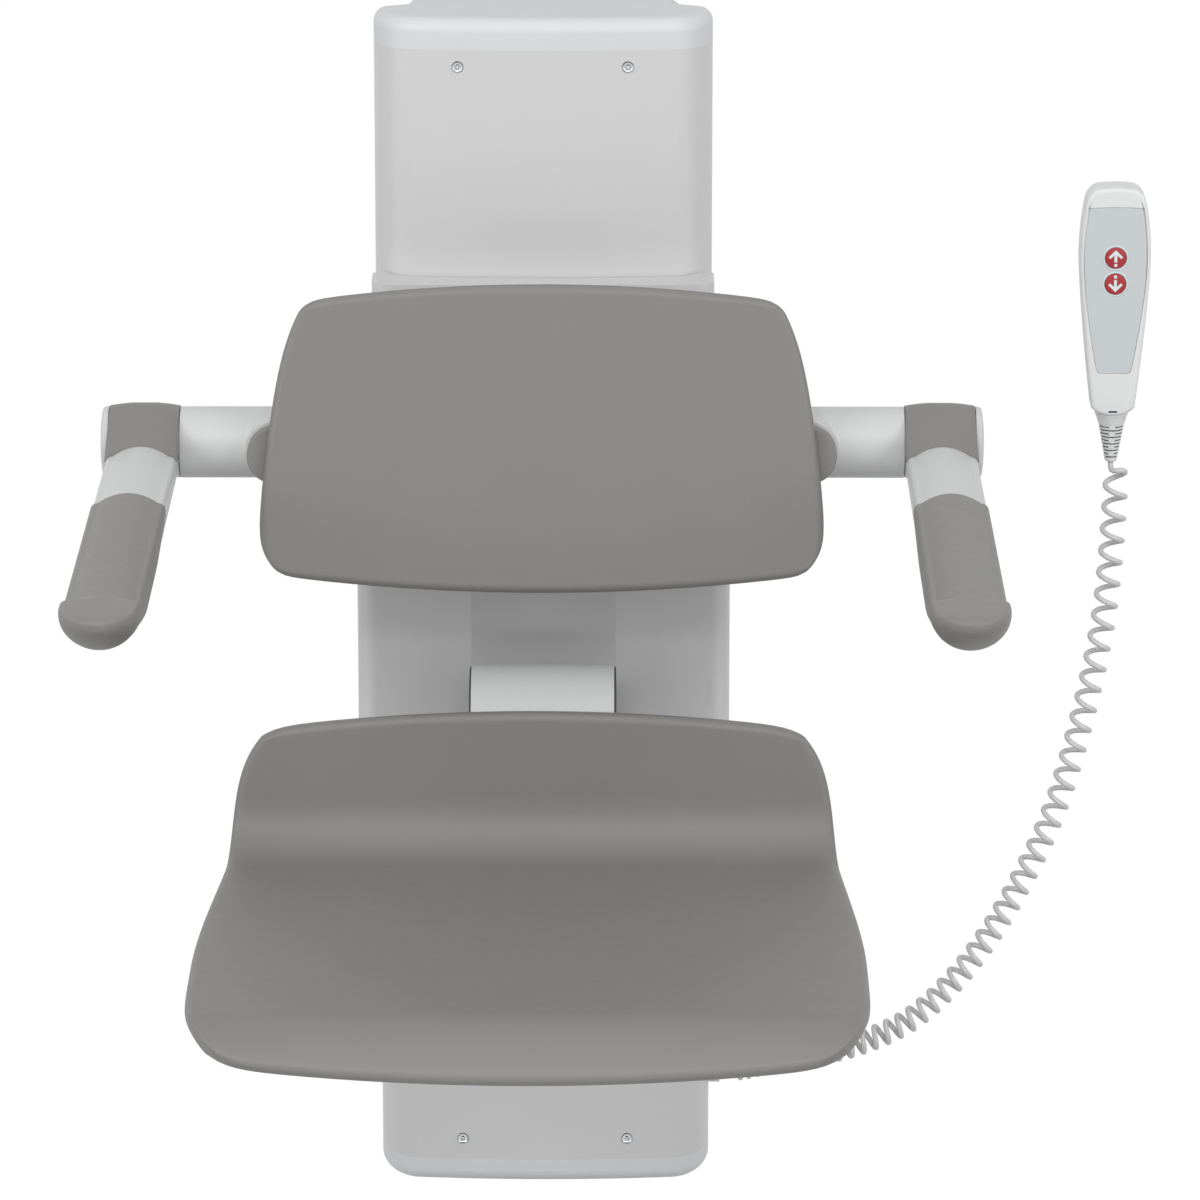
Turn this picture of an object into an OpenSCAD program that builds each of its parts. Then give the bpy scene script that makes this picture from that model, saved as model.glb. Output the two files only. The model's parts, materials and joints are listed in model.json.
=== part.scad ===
// Shower seat for a wall. A motor in a flat column lifts a carriage, which carries a folding
// seat, a backrest on a cross tube and two fold-up armrests. A handset on a curly cord hangs
// beside it. X is to the right, -Y leads away from the wall and Z is up. The origin is on the
// wall's face, at the middle of the column. Heights are counted from the column's foot.

/* [Column] */
// Height of the column with its caps
column_h = 865; // [800:5:1000]
// Width of the column
column_w = 240; // [230:1:250]
// Distance from the wall to the middle of the column's front
column_d = 80; // [78:0.5:82]
// Bulge of the column's front
column_crown = 5; // [2:0.5:8]
// Width of a rounded front corner
corner_w = 29; // [20:1:36]
// Depth of a rounded front corner
corner_d = 46; // [30:1:46]
// Wall of the column's cover
cover_t = 2.5; // [1.5:0.1:3]
// Height of the top cap
cap_top_h = 22; // [18:1:30]
// Height of the bottom cap
cap_bottom_h = 18; // [14:1:30]
// Rounding of the caps' edges
cap_round = 10; // [4:1:12]
// Sideways place of the cover screws
cover_screw_x = 60; // [50:1:70]
// Distance from the column's ends to the cover screws
cover_screw_end = 34; // [32:1:40]
// Head of a cover screw
cover_screw_head = 7.5; // [6:0.5:9]
// Thread of a cover screw
cover_screw_d = 4; // [3:0.5:5]

/* [Wall rail] */
// Width of the rail
rail_w = 196; // [190:1:200]
// Depth of the rail
rail_d = 20; // [18:1:21]
// Thickness of the rail's walls
rail_t = 4; // [3:0.5:5]
// Depth of the side grooves, counted sideways
groove_in = 14; // [12:0.5:16]
// Opening behind the cover's side edges, where the carriage reaches in
slot_d = 8; // [7:0.5:10]
// Wall bolt holes
bolt_d = 9; // [7:0.5:10]
// Distance between wall bolts across
bolt_dx = 130; // [100:5:140]
// Distance from the column's ends to the wall bolts
bolt_end = 82.5; // [60:0.5:120]

/* [Lift] */
// Travel up from the position shown
lift_up = 155; // [100:5:158]
// Travel down from the position shown
lift_down = 145; // [100:5:150]
// Outside of the actuator's fixed tube
ram_tube_d = 36; // [30:1:40]
// Rod of the actuator
ram_rod_d = 20; // [14:1:24]
// Distance from the wall to the actuator's axis
ram_f = 51; // [46:1:54]
// Height of the actuator's foot
ram_foot_h = 24; // [20:1:40]
// Height of the actuator's gearbox
gearbox_h = 34; // [28:1:44]
// Thickness of the drive bar
bar_t = 5; // [3:0.5:5.5]
// Height of the drive bar
bar_h = 40; // [30:1:50]
// Distance from the carriage's top edge down to the drive bar's middle
bar_below = 135; // [120:5:150]

/* [Carriage] */
// How far the carriage's cover stands out beyond the column, each side
carriage_over = 13; // [11:0.5:17]
// Distance from the wall to the carriage's front
carriage_d = 103; // [101:0.5:106]
// Height of the carriage's cover
carriage_h = 430; // [380:5:440]
// Height of the carriage's top edge above the foot
carriage_top_h = 680; // [670:1:684]
// How far the carriage's neck stands out beyond the column, each side
neck_over = 1; // [0.5:0.5:3]
// Height of the neck
neck_h = 70; // [50:1:80]
// Height of the shoulder under the neck
shoulder_h = 30; // [20:1:40]
// Rounding of the carriage's front corners
carriage_round = 14; // [10:1:16]
// Wall of the carriage's cover
carriage_t = 2.5; // [1.5:0.1:3]
// Width of the hollow channel down the front
scoop_w = 103; // [96:1:110]
// Depth of the hollow channel
scoop_d = 9; // [6:0.5:10]
// Sheet thickness of the frame inside
frame_t = 5; // [4:0.5:6]

/* [Cross tube] */
// Diameter of the cross tube
tube_d = 50; // [44:1:54]
// Wall of the cross tube
tube_t = 3; // [2:0.5:5]
// Distance from the wall to the tube's axis
tube_f = 151; // [148:0.5:154]
// Distance from the carriage's top edge down to the tube's axis
tube_below = 102; // [94:1:110]
// Length of the tube with both armrests and end discs
span = 619; // [600:1:640]

/* [Backrest] */
// Width of the backrest at its widest
back_w = 395; // [370:1:400]
// Height of the backrest, along its slope
back_h = 215; // [200:1:225]
// Thickness of the backrest
back_t = 12; // [9:0.5:13]
// How much narrower the backrest is at its top, each side
back_taper = 13.5; // [6:0.5:20]
// Lean of the backrest
back_lean = 10.5; // [8:0.5:12]
// Forward curve of the backrest's sides
back_curve = 6; // [2:0.5:7]
// Distance from the wall to the backrest's middle plane, half way up
back_f = 189; // [187:0.5:192]
// Height of the backrest's middle above the tube's axis
back_rise = 12; // [7:1:20]

/* [Seat] */
// Width of the seat at its widest
seat_w = 454; // [420:2:470]
// Width of the seat at its rear
seat_rear_w = 421; // [400:1:426]
// Sideways place of the seat's middle
seat_x = -6.5; // [-8:0.5:8]
// Thickness of the seat
seat_t = 12; // [9:0.5:14]
// Distance from the hinge's axis down to the flat part's top
seat_below = 74.5; // [70:0.5:76]
// Distance from the wall to the rear rim's middle
seat_f = 208; // [207:0.5:212]
// Distance from the wall to the seat's front edge
seat_front = 616; // [600:2:660]
// Height of the straight part of the rear rim
rim_h = 64; // [50:1:70]
// Bend between the rear rim and the flat part
rim_bend = 41; // [34:1:48]
// Bend of the front edge
front_bend = 56; // [40:1:80]
// Angle that the front edge turns down
front_turn = 60; // [40:1:70]
// Depth of the hollow that one sits in
dish = 4; // [1:0.5:6]

/* [Seat hinge] */
// Distance from the wall to the hinge's axis
hinge_f = 152; // [151:0.5:154]
// Distance from the carriage's top edge down to the hinge's axis
hinge_below = 307.5; // [304:0.5:310]
// Diameter of the barrel over the hinge
barrel_d = 84; // [80:1:86]
// Length of the barrel
barrel_w = 101; // [90:1:106]
// Wall of the barrel's shroud
barrel_t = 3; // [2:0.5:4]
// Hinge pin
pin_d = 20; // [16:1:24]
// Wall of the hinge bushes
bush_t = 2; // [1.5:0.5:3]
// Width of the fixed lug in the hinge's middle
lug_w = 50; // [40:1:56]
// Thickness of the bars under the seat
seat_bar_t = 10; // [8:0.5:14]
// Width of the bars under the seat
seat_bar_w = 22; // [16:1:24]

/* [Armrests] */
// Width of an armrest's metal bar
arm_w = 49; // [44:0.5:49.5]
// Height of the bar's top edges above the tube's axis
arm_rise = 3; // [0:0.5:6]
// Distance from the tube's axis down to the bar's underside
arm_drop = 27; // [22:0.5:30]
// Rise of the bar's top in its middle
arm_crown = 7; // [4:0.5:8]
// Distance from the wall to the bar's front end
arm_front = 590; // [560:2:594]
// Distance from the wall to the hinge cover's front edge
arm_cover_f = 204; // [196:1:210]
// Wall of the hinge cover
arm_cover_t = 3; // [2:0.5:4]
// Distance from the wall to the pad's rear edge
pad_f = 336; // [300:2:380]
// Distance from the wall to the pad's nose
pad_front = 655; // [640:1:664]
// Wall of the pad
pad_t = 2; // [1.5:0.5:3]
// Rise of the lip at the pad's nose
lip_rise = 7; // [5:0.5:9]
// Axle inside the armrest's hub
axle_d = 36; // [30:1:38]
// Thickness of the end discs
disc_t = 6; // [4:0.5:8]

/* [Handset] */
// Sideways place of the handset
handset_x = 408; // [400:1:420]
// Width of the handset at its widest
handset_w = 50.4; // [46:0.2:54]
// Width of the handset at its foot
handset_foot_w = 31; // [28:0.5:34]
// Height of the handset's housing
handset_l = 167; // [158:1:176]
// Height of the housing's foot above the column's foot
handset_h = 567; // [555:0.5:580]
// Distance from the wall to the handset's back
handset_f = 8; // [7:0.5:9]
// Thickness of the handset
handset_t = 26; // [24:0.5:30]
// Rounding of the housing's edges
handset_round = 2.5; // [2:0.5:4]
// Diameter of a button
button_d = 15.4; // [13:0.2:17]
// Travel of a button
button_travel = 0.8; // [0.5:0.1:1]
// Height of the upper button above the housing's foot
button_up_h = 117; // [111:1:123]
// Height of the lower button above the housing's foot
button_down_h = 98; // [93:1:100]
// Length of the strain relief with its collar, below the housing
relief_l = 36; // [32:0.5:40]
// Width of the strain relief's sleeve under the collar
relief_top_d = 18.8; // [17:0.2:20]
// Width of the strain relief's tip
relief_tip_d = 8.4; // [7:0.2:10]
// Number of grooves in the strain relief
relief_grooves = 10; // [6:1:12]

/* [Curly cord] */
// Thickness of the cord
cord_d = 4; // [3:0.1:4.2]
// Outside of the cord's curls
curl_d = 19; // [16:0.5:21]
// Number of curls
curls = 49; // [40:1:56]
// Distance between curls at the handset
pitch_top = 16.7; // [14:0.1:18]
// Distance between curls at the column
pitch_low = 6.2; // [5.6:0.1:9]

/* [Hidden] */
$fn = 48;
hull_fn = 32;
// Clearance between flat faces that touch nothing
gap = 0.5;
// Running clearance of a pivot, at its radius
run = 0.05;
// Overrun of every cut
over = 1;

// Heights that hang on the carriage's top edge
bar_mid_h = carriage_top_h - bar_below;
tube_h = carriage_top_h - tube_below;
hinge_h = carriage_top_h - hinge_below;
back_mid_h = tube_h + back_rise;
seat_h = hinge_h - seat_below;
arm_top_h = tube_h + arm_rise;
arm_low_h = tube_h - arm_drop;

function z(h) = h - column_h / 2;

// Plain helpers: a block between corners, and round bars along X, Y and Z
module block(x0, x1, f0, f1, h0, h1)
    translate([x0, -f1, z(h0)]) cube([x1 - x0, f1 - f0, h1 - h0]);
module bar_x(d, x0, x1, f, h)
    translate([x0, -f, z(h)]) rotate([0, 90, 0]) cylinder(d = d, h = x1 - x0);
module bar_f(d, x, f0, f1, h)
    translate([x, -f0, z(h)]) rotate([90, 0, 0]) cylinder(d = d, h = f1 - f0);
module bar_z(d, x, f, h0, h1)
    translate([x, -f, z(h0)]) cylinder(d = d, h = h1 - h0);
module both_sides() {
    children();
    mirror([1, 0, 0]) children();
}

function reversed(list) = [for (i = [len(list) - 1:-1:0]) list[i]];
function unit(v) = v / norm(v);

// Skin over a stack of rings with n points each. Seen against the stack's direction,
// a ring runs anticlockwise. The ends are strips between a ring's two halves.
function ring_sides(n, rings) = [
    for (j = [0:rings - 2], i = [0:n - 1]) let (k = (i + 1) % n)
        each [[j * n + i, (j + 1) * n + i, (j + 1) * n + k],
            [j * n + i, (j + 1) * n + k, j * n + k]]];
function ring_end(n, first) = let (m = n / 2) concat(
    [[first, first + 1, first + n - 1]],
    [for (i = [1:m - 2]) each [[first + i, first + i + 1, first + n - i - 1],
        [first + i, first + n - i - 1, first + n - i]]],
    [[first + m - 1, first + m, first + m + 1]]);
module skin(rings) {
    n = len(rings[0]);
    m = len(rings);
    last = [for (t = ring_end(n, (m - 1) * n)) reversed(t)];
    polyhedron([for (r = rings) each r], concat(ring_sides(n, m), ring_end(n, 0), last));
}
// The same with a flat face at each end
module flat_skin(rings) {
    n = len(rings[0]);
    m = len(rings);
    polyhedron([for (r = rings) each r], concat(ring_sides(n, m),
        [[for (i = [0:n - 1]) i]], [[for (i = [n - 1:-1:0]) (m - 1) * n + i]]));
}

// Column: an outline that is open to the wall, with oval front corners and a bulged front
corner_steps = 8;
function u_outline(w, d, crown, cw, cd, rear, inset) =
    let (xc = w / 2 - cw, dc = d - crown - cd, rx = cw - inset, rd = cd - inset, n = corner_steps)
    concat([[-w / 2 + inset, -rear]],
        [for (i = [0:n]) let (a = 90 * i / n) [-xc - rx * cos(a), -dc - rd * sin(a)]],
        [for (i = [1:n - 1]) let (x = xc * (2 * i / n - 1))
            [x, inset + crown - d - crown * (1 - x * x / xc / xc)]],
        [for (i = [n:-1:0]) let (a = 90 * i / n) [xc + rx * cos(a), -dc - rd * sin(a)]],
        [[w / 2 - inset, -rear]]);
function column_outline(rear, inset) =
    u_outline(column_w, column_d, column_crown, corner_w, corner_d, rear, inset);
cover_rear = rail_d + slot_d;
cover_low_h = cap_bottom_h;
cover_top_h = column_h - cap_top_h;
screw_heights = [cover_screw_end, column_h - cover_screw_end];
gland_h = 72.5;
gland_f = 38;
gland_d = 12;

// Depth of the bulged cover's front at a sideways place
function cover_front(x) = let (xc = column_w / 2 - corner_w)
    column_d - column_crown * x * x / xc / xc;
screw_sink = 1.2;

module wall_rail() color("silver") difference() {
    block(-rail_w / 2, rail_w / 2, 0, rail_d, cover_low_h, cover_top_h);
    // Grooves for the slide pads
    both_sides() block(rail_w / 2 - groove_in, rail_w / 2 + over, rail_t + rail_t / 2,
        rail_d - rail_t + rail_t / 4, cover_low_h - over, cover_top_h + over);
    // Shallow middle, open to the front
    block(-rail_w / 2 + groove_in + rail_t, rail_w / 2 - groove_in - rail_t, rail_t,
        rail_d + over, cover_low_h - over, cover_top_h + over);
    for (x = [-1, 1], s = [-1, 1])
        bar_f(bolt_d, x * bolt_dx / 2, -over, rail_d + over, column_h / 2 + s * (column_h / 2 - bolt_end));
}

// Posts on the rail that the cover is screwed to
post_w = 16;
module cover_posts() color("silver") both_sides() for (h = screw_heights) difference() {
    block(cover_screw_x - post_w / 2, cover_screw_x + post_w / 2, rail_t,
        cover_front(cover_screw_x + post_w / 2) - cover_t - gap, h - post_w / 2, h + post_w / 2);
    bar_f(cover_screw_d, cover_screw_x, column_d / 2, column_d + over, h);
}

module column_cover() color("gainsboro") difference() {
    translate([0, 0, z(cover_low_h)]) linear_extrude(cover_top_h - cover_low_h)
        polygon(concat(column_outline(cover_rear, 0), reversed(column_outline(cover_rear, cover_t))));
    both_sides() for (h = screw_heights) {
        bar_f(cover_screw_d + gap, cover_screw_x, column_d / 2, column_d + over, h);
        bar_f(cover_screw_head + gap, cover_screw_x, cover_front(cover_screw_x) - screw_sink,
            column_d + over, h);
    }
    bar_x(gland_d, column_w / 2 - corner_w, column_w / 2 + over, gland_f, gland_h);
}

module cover_screws() color("silver") both_sides() for (h = screw_heights) {
    front = cover_front(cover_screw_x) - screw_sink;
    difference() {
        union() {
            bar_f(cover_screw_head, cover_screw_x, front, front + screw_sink, h);
            bar_f(cover_screw_d, cover_screw_x, front - cover_screw_head * 2, front, h);
        }
        translate([cover_screw_x, -front - screw_sink / 3, z(h)]) rotate([90, 0, 0])
            cylinder(d = cover_screw_d * 0.85, h = screw_sink + over, $fn = 6);
    }
}

// Caps: the outline narrows to the rail at the wall, and the outer edge is rounded
cap_steps = 4;
function cap_ring(inset, height) = let (side = rail_w / 2 - inset, rear = rail_d - rail_t / 2)
    [for (p = concat([[-side, 0], [-side, -rear]], column_outline(cover_rear, inset),
        [[side, -rear], [side, 0]])) [p[0], p[1], height]];
function cap_rings(h) = concat([cap_ring(0, 0)], [for (k = [0:cap_steps])
    let (a = 90 * k / cap_steps)
    cap_ring(cap_round * (1 - cos(a)), h - cap_round + cap_round * sin(a))]);
module top_cap() color("gainsboro") translate([0, 0, z(cover_top_h)])
    flat_skin(cap_rings(cap_top_h));
module bottom_cap() color("gainsboro") translate([0, 0, z(cap_bottom_h)])
    mirror([0, 0, 1]) flat_skin(cap_rings(cap_bottom_h));

// Actuator: a gearbox and motor at the foot, a fixed tube and a rod that pushes the drive bar
gearbox_top_h = ram_foot_h + gearbox_h;
bar_low_h = bar_mid_h - bar_h / 2;
ram_tube_top_h = bar_low_h - lift_down - frame_t;
rod_low_h = gearbox_top_h + frame_t + lift_down + 2 * gap;
echo(rod_left_in_tube_at_top = ram_tube_top_h - rod_low_h - lift_up);
motor_d = 30;
motor_x = ram_tube_d / 2 + motor_d / 2 + 2 * gap;
motor_h = 120;
module actuator_motor() color("dimgray") {
    block(-ram_tube_d / 2 - frame_t, motor_x + motor_d / 2, ram_f - ram_tube_d / 2,
        ram_f + ram_tube_d / 2, ram_foot_h, gearbox_top_h);
    bar_z(motor_d, motor_x, ram_f, gearbox_top_h, gearbox_top_h + motor_h);
    // Foot that is bolted to the rail
    block(-ram_tube_d / 2, ram_tube_d / 2, rail_t, ram_f - ram_tube_d / 2,
        ram_foot_h, ram_foot_h + frame_t);
}
module actuator_tube() color("silver") difference() {
    bar_z(ram_tube_d, 0, ram_f, gearbox_top_h, ram_tube_top_h);
    bar_z(ram_rod_d + 2 * gap, 0, ram_f, gearbox_top_h + frame_t, ram_tube_top_h + over);
}
module actuator_rod() color("lightgray")
    bar_z(ram_rod_d, 0, ram_f, rod_low_h, bar_low_h);

// Control box beside the actuator, on the rail
box_w = 46;
box_h = 170;
box_low_h = 110;
module control_box() color("dimgray")
    block(-rail_w / 2 + groove_in + rail_t + gap, box_w - rail_w / 2 + groove_in, rail_t,
        ram_f + ram_tube_d / 4, box_low_h, box_low_h + box_h);

// Gland that the cord comes out of, at the column's right side
gland_nut_d = 17;
gland_nut_w = 8;
gland_tip_w = 6;
gland_end_x = column_w / 2 + gland_nut_w + gland_tip_w;
module cord_gland() color("gainsboro") {
    bar_x(gland_d, column_w / 2 - gland_nut_w, column_w / 2, gland_f, gland_h);
    translate([column_w / 2, -gland_f, z(gland_h)]) rotate([0, 90, 0])
        cylinder(d = gland_nut_d, h = gland_nut_w, $fn = 6);
    translate([gland_end_x - gland_tip_w, -gland_f, z(gland_h)]) rotate([0, 90, 0])
        cylinder(d1 = gland_d, d2 = gland_d * 0.7, h = gland_tip_w);
}

// Frame of the carriage: a front plate with wings that reach round the column to the rail
frame_f = column_d + bar_t / 2;
wing_x = column_w / 2 + gap * 4;
frame_low_h = carriage_top_h - carriage_h + carriage_t + gap * 3;
frame_top_h = carriage_top_h - neck_h - shoulder_h - carriage_t;
lip_f0 = rail_t + rail_t / 2 + rail_t / 2;
lip_f1 = rail_d - rail_t;
pad_h = 40;
pad_x = rail_w / 2 + gap * 3;
module carriage_frame() color("silver") {
    block(-wing_x, wing_x, frame_f, frame_f + frame_t, frame_low_h, frame_top_h);
    both_sides() {
        block(wing_x, wing_x + frame_t, lip_f0, frame_f + frame_t, frame_low_h, frame_top_h);
        block(pad_x, wing_x, lip_f0, lip_f1, frame_low_h, frame_top_h);
    }
}
pad_heights = [frame_low_h + pad_h, frame_top_h - pad_h];
module slide_pads() color("white") both_sides() for (h = pad_heights)
    block(rail_w / 2 - groove_in + gap * 2, pad_x, rail_t + rail_t / 2 + gap,
        rail_d - rail_t + rail_t / 4 - gap, h - pad_h / 2, h + pad_h / 2);
module drive_bar() color("silver") {
    f0 = rail_d + (slot_d - bar_t) / 2;
    block(-wing_x, wing_x, f0, f0 + bar_t, bar_low_h, bar_low_h + bar_h);
    block(-ram_tube_d / 2, ram_tube_d / 2, f0 + bar_t, ram_f + ram_rod_d / 2 + frame_t,
        bar_low_h, bar_low_h + bar_h);
}

// Cover of the carriage, with a narrower neck, sloped shoulders and a hollow channel
carriage_low_h = carriage_top_h - carriage_h;
neck_low_h = carriage_top_h - neck_h;
shoulder_low_h = neck_low_h - shoulder_h;
neck_rear = column_d - corner_d / 3;
carriage_w = column_w + 2 * carriage_over;
neck_w = column_w + 2 * neck_over;
scoop_r = (scoop_w * scoop_w / 4 + scoop_d * scoop_d) / (2 * scoop_d);
function carriage_outline(w, rear, inset) =
    u_outline(w, carriage_d, 0, carriage_round, carriage_round, rear, inset);
module carriage_form(inset, rear_over) {
    rear = lip_f0 - rear_over;
    low = carriage_low_h + inset;
    translate([0, 0, z(low)]) linear_extrude(shoulder_low_h - low)
        polygon(carriage_outline(carriage_w, rear, inset));
    intersection() {
        translate([0, 0, z(shoulder_low_h)]) linear_extrude(shoulder_h - inset)
            polygon(carriage_outline(carriage_w, rear, inset));
        translate([0, over, z(shoulder_low_h)]) rotate([90, 0, 0])
            linear_extrude(carriage_d + 2 * over) polygon([
                [-carriage_w / 2 + inset, -over], [carriage_w / 2 - inset, -over],
                [carriage_w / 2 - inset, 0], [neck_w / 2 - inset, shoulder_h],
                [-neck_w / 2 + inset, shoulder_h], [-carriage_w / 2 + inset, 0]]);
    }
    translate([0, 0, z(neck_low_h - inset)]) linear_extrude(neck_h)
        polygon(carriage_outline(neck_w, neck_rear - rear_over, inset));
}
module scoop(extra)
    bar_z(2 * (scoop_r + extra), 0, carriage_d - scoop_d + scoop_r,
        carriage_low_h - over, neck_low_h + extra);
module carriage_cover() color("gainsboro") difference() {
    carriage_form(0, 0);
    difference() {
        carriage_form(carriage_t, 2 * over);
        scoop(carriage_t);
    }
    scoop(0);
    // Passage for the column
    translate([0, 0, z(carriage_low_h - over)]) linear_extrude(carriage_h + 2 * over)
        polygon(concat([[-column_w / 2 - 3 * gap, over]], column_outline(0, -3 * gap),
            [[column_w / 2 + 3 * gap, over]]));
    // Windows for the hinge's web and the tube's cradle
    block(-lug_w / 2 - gap, lug_w / 2 + gap, frame_f + frame_t, carriage_d + over,
        hinge_h - web_low - gap, hinge_h - web_top + gap);
    block(-cradle_w / 2 - gap, cradle_w / 2 + gap, frame_f + frame_t, carriage_d + over,
        tube_h - cradle_h / 2 - gap, tube_h + cradle_h / 2 + gap);
}

// Fixed half of the seat hinge: a lug round the pin on a web from the frame
lug_d = barrel_d - 2 * barrel_t - 4 * gap;
web_low = 33;
web_top = 12;
module hinge_bracket() color("silver") difference() {
    union() {
        bar_x(lug_d, -lug_w / 2, lug_w / 2, hinge_f, hinge_h);
        block(-lug_w / 2, lug_w / 2, frame_f + frame_t, hinge_f,
            hinge_h - web_low, hinge_h - web_top);
    }
    bar_x(pin_d, -lug_w / 2 - over, lug_w / 2 + over, hinge_f, hinge_h);
}
end_t = 2;
pin_x = barrel_w / 2 - end_t - gap;
module hinge_pin() color("silver") bar_x(pin_d, -pin_x, pin_x, hinge_f, hinge_h);
bush_bore = pin_d + 2 * run;
bush_d = pin_d + 2 * bush_t;
knuckle_x0 = lug_w / 2 + gap;
knuckle_x1 = barrel_w / 2 - end_t;
module hinge_bushes() color("white") both_sides() difference() {
    bar_x(bush_d, knuckle_x0, knuckle_x1, hinge_f, hinge_h);
    bar_x(bush_bore, knuckle_x0 - over, knuckle_x1 + over, hinge_f, hinge_h);
}

// Shroud that turns with the seat: closed ends, and an opening at the back for the web
shroud_open = [104, 243];
module hinge_shroud() color("gainsboro") difference() {
    bar_x(barrel_d, -barrel_w / 2, barrel_w / 2, hinge_f, hinge_h);
    bar_x(barrel_d - 2 * barrel_t, -barrel_w / 2 + end_t, barrel_w / 2 - end_t, hinge_f, hinge_h);
    translate([-lug_w / 2 - gap, -hinge_f, z(hinge_h)]) rotate([90, 0, 90])
        linear_extrude(lug_w + 2 * gap) polygon(concat([[0, 0]],
            [for (i = [0:5]) let (a = shroud_open[0] + (shroud_open[1] - shroud_open[0]) * i / 5)
                [-barrel_d * cos(a), barrel_d * sin(a)]]));
    // Notch in the underside where the seat bracket's necks come out
    block(-barrel_w / 2 + end_t, barrel_w / 2 - end_t, hinge_f - neck_back, hinge_f + neck_fore,
        hinge_h - barrel_d, hinge_h - barrel_d / 4);
}

// Seat bracket: knuckles, necks, two bars under the seat and cross straps with screw holes
neck_back = 18;
neck_fore = 30;
under_h = seat_h - seat_t - dish;
bar_front_f = seat_front - front_bend * 2;
strap_w = 30;
strap_x = seat_w / 2 - seat_bar_w * 4;
strap_fs = [hinge_f + barrel_d * 1.6, bar_front_f - strap_w];
screw_x = strap_x - strap_w / 2;
seat_screw_d = 5;
module seat_bracket() color("silver") difference() {
    union() {
        both_sides() {
            bar_x(lug_d, knuckle_x0, knuckle_x1, hinge_f, hinge_h);
            // Neck from the knuckle down to the bar
            block(knuckle_x0, knuckle_x1, hinge_f - neck_back + gap, hinge_f + neck_fore - gap,
                under_h - 2 * seat_bar_t, hinge_h);
            block(knuckle_x0, knuckle_x0 + seat_bar_w, hinge_f - neck_back + gap, bar_front_f,
                under_h - 2 * seat_bar_t, under_h - seat_bar_t);
        }
        for (f = strap_fs) block(-strap_x, strap_x, f, f + strap_w,
            under_h - seat_bar_t, under_h - gap);
    }
    both_sides() bar_x(bush_d, knuckle_x0 - over, knuckle_x1 + over, hinge_f, hinge_h);
    seat_screw_places() bar_z(seat_screw_d, 0, 0, under_h - 3 * seat_bar_t, under_h);
}
module seat_screw_places()
    both_sides() for (f = strap_fs) translate([screw_x, -f - strap_w / 2, 0]) children();
module seat_screws() color("silver") seat_screw_places() {
    bar_z(seat_screw_d, 0, 0, under_h - seat_bar_t, under_h + seat_t / 3);
    bar_z(2 * seat_screw_d, 0, 0, under_h - seat_bar_t - seat_screw_d / 2, under_h - seat_bar_t);
}

// Moulded sheets: places across, from the middle to the edge, as shares of the half width
across_shares = [0, 0.2, 0.4, 0.58, 0.73, 0.84, 0.91, 0.955, 0.983, 0.997, 1];
across = concat([for (i = [len(across_shares) - 1:-1:1]) -across_shares[i]], across_shares);
// Thickness near an edge, from 0 at the edge to 1 at the full thickness
function edge_round(e, r) = e >= r ? 1 : sqrt(max(0, 1 - (1 - e / r) * (1 - e / r)));

// Seat: side view of the middle plane as distance, height and slope at a length s along it
seat_flat = seat_front - seat_f - rim_bend - front_bend * sin(front_turn);
s_bend = rim_h;
s_flat = s_bend + rim_bend * PI / 2;
s_drop = s_flat + seat_flat;
seat_l = s_drop + front_bend * front_turn * PI / 180;
seat_mid_h = seat_h - seat_t / 2;
function seat_line(s) =
    s <= s_bend ? [seat_f, seat_mid_h + rim_bend + s_bend - s, 90] :
    s <= s_flat ? let (a = (s - s_bend) / rim_bend * 180 / PI)
        [seat_f + rim_bend * (1 - cos(a)), seat_mid_h + rim_bend * (1 - sin(a)), 90 - a] :
    s <= s_drop ? [seat_f + rim_bend + s - s_flat, seat_mid_h, 0] :
    let (a = (s - s_drop) / front_bend * 180 / PI)
        [seat_f + rim_bend + seat_flat + front_bend * sin(a),
            seat_mid_h - front_bend * (1 - cos(a)), a];
// Outline: the seat widens forward, its corners are cut round and its ends are arched
rear_corner = 19.5;
front_corner = 15;
rear_arch = 12.7;
front_arch = 13.7;
corner_rise = 6.3;
corner_back = 16;
function smooth(t) = t <= 0 ? 0 : t >= 1 ? 1 : t * t * (3 - 2 * t);
function seat_half(s) = seat_rear_w / 2
    + (seat_w - seat_rear_w) / 2 * smooth(s / seat_l / 0.7)
    - rear_corner * pow(1 - s / seat_l, 20) - front_corner * pow(s / seat_l, 24);
function seat_start(u) = rear_arch * u * u + corner_rise * pow(abs(u), 20);
function seat_end(u) = seat_l - front_arch * u * u - corner_back * pow(abs(u), 20);
function seat_point(u, v, side) =
    let (s = seat_start(u) * (1 - v) + seat_end(u) * v,
        half = seat_half(v * seat_l), line = seat_line(s),
        e = min(half * (1 - abs(u)), min(v, 1 - v) * seat_l + end_flat),
        t = side * seat_t / 2 * edge_round(e, seat_t / 2),
        low = dish * sin(180 * smooth((s - s_bend) / (seat_l - s_bend))) * (1 - u * u))
    [seat_x + u * half, -(line[0] + t * sin(line[2])), z(line[1] + t * cos(line[2]) - low)];
end_flat = 0.3;
function seat_ring(v) = concat([for (u = across) seat_point(u, v, -1)],
    [for (i = [len(across) - 2:-1:1]) seat_point(across[i], v, 1)]);
edge_shares = [0, 0.15, 0.4, 1];
seat_rows = concat(
    [for (k = edge_shares) k * seat_t / 2], [s_bend * 0.25, s_bend * 0.5, s_bend * 0.8],
    [for (k = [0:7]) s_bend + (s_flat - s_bend) * k / 7],
    [for (k = [1:6]) s_flat + seat_flat * k / 6],
    [for (k = [1:4]) s_drop + (seat_l - seat_t / 2 - s_drop) * k / 4],
    [for (k = [2:-1:0]) seat_l - edge_shares[k] * seat_t / 2]);
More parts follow.
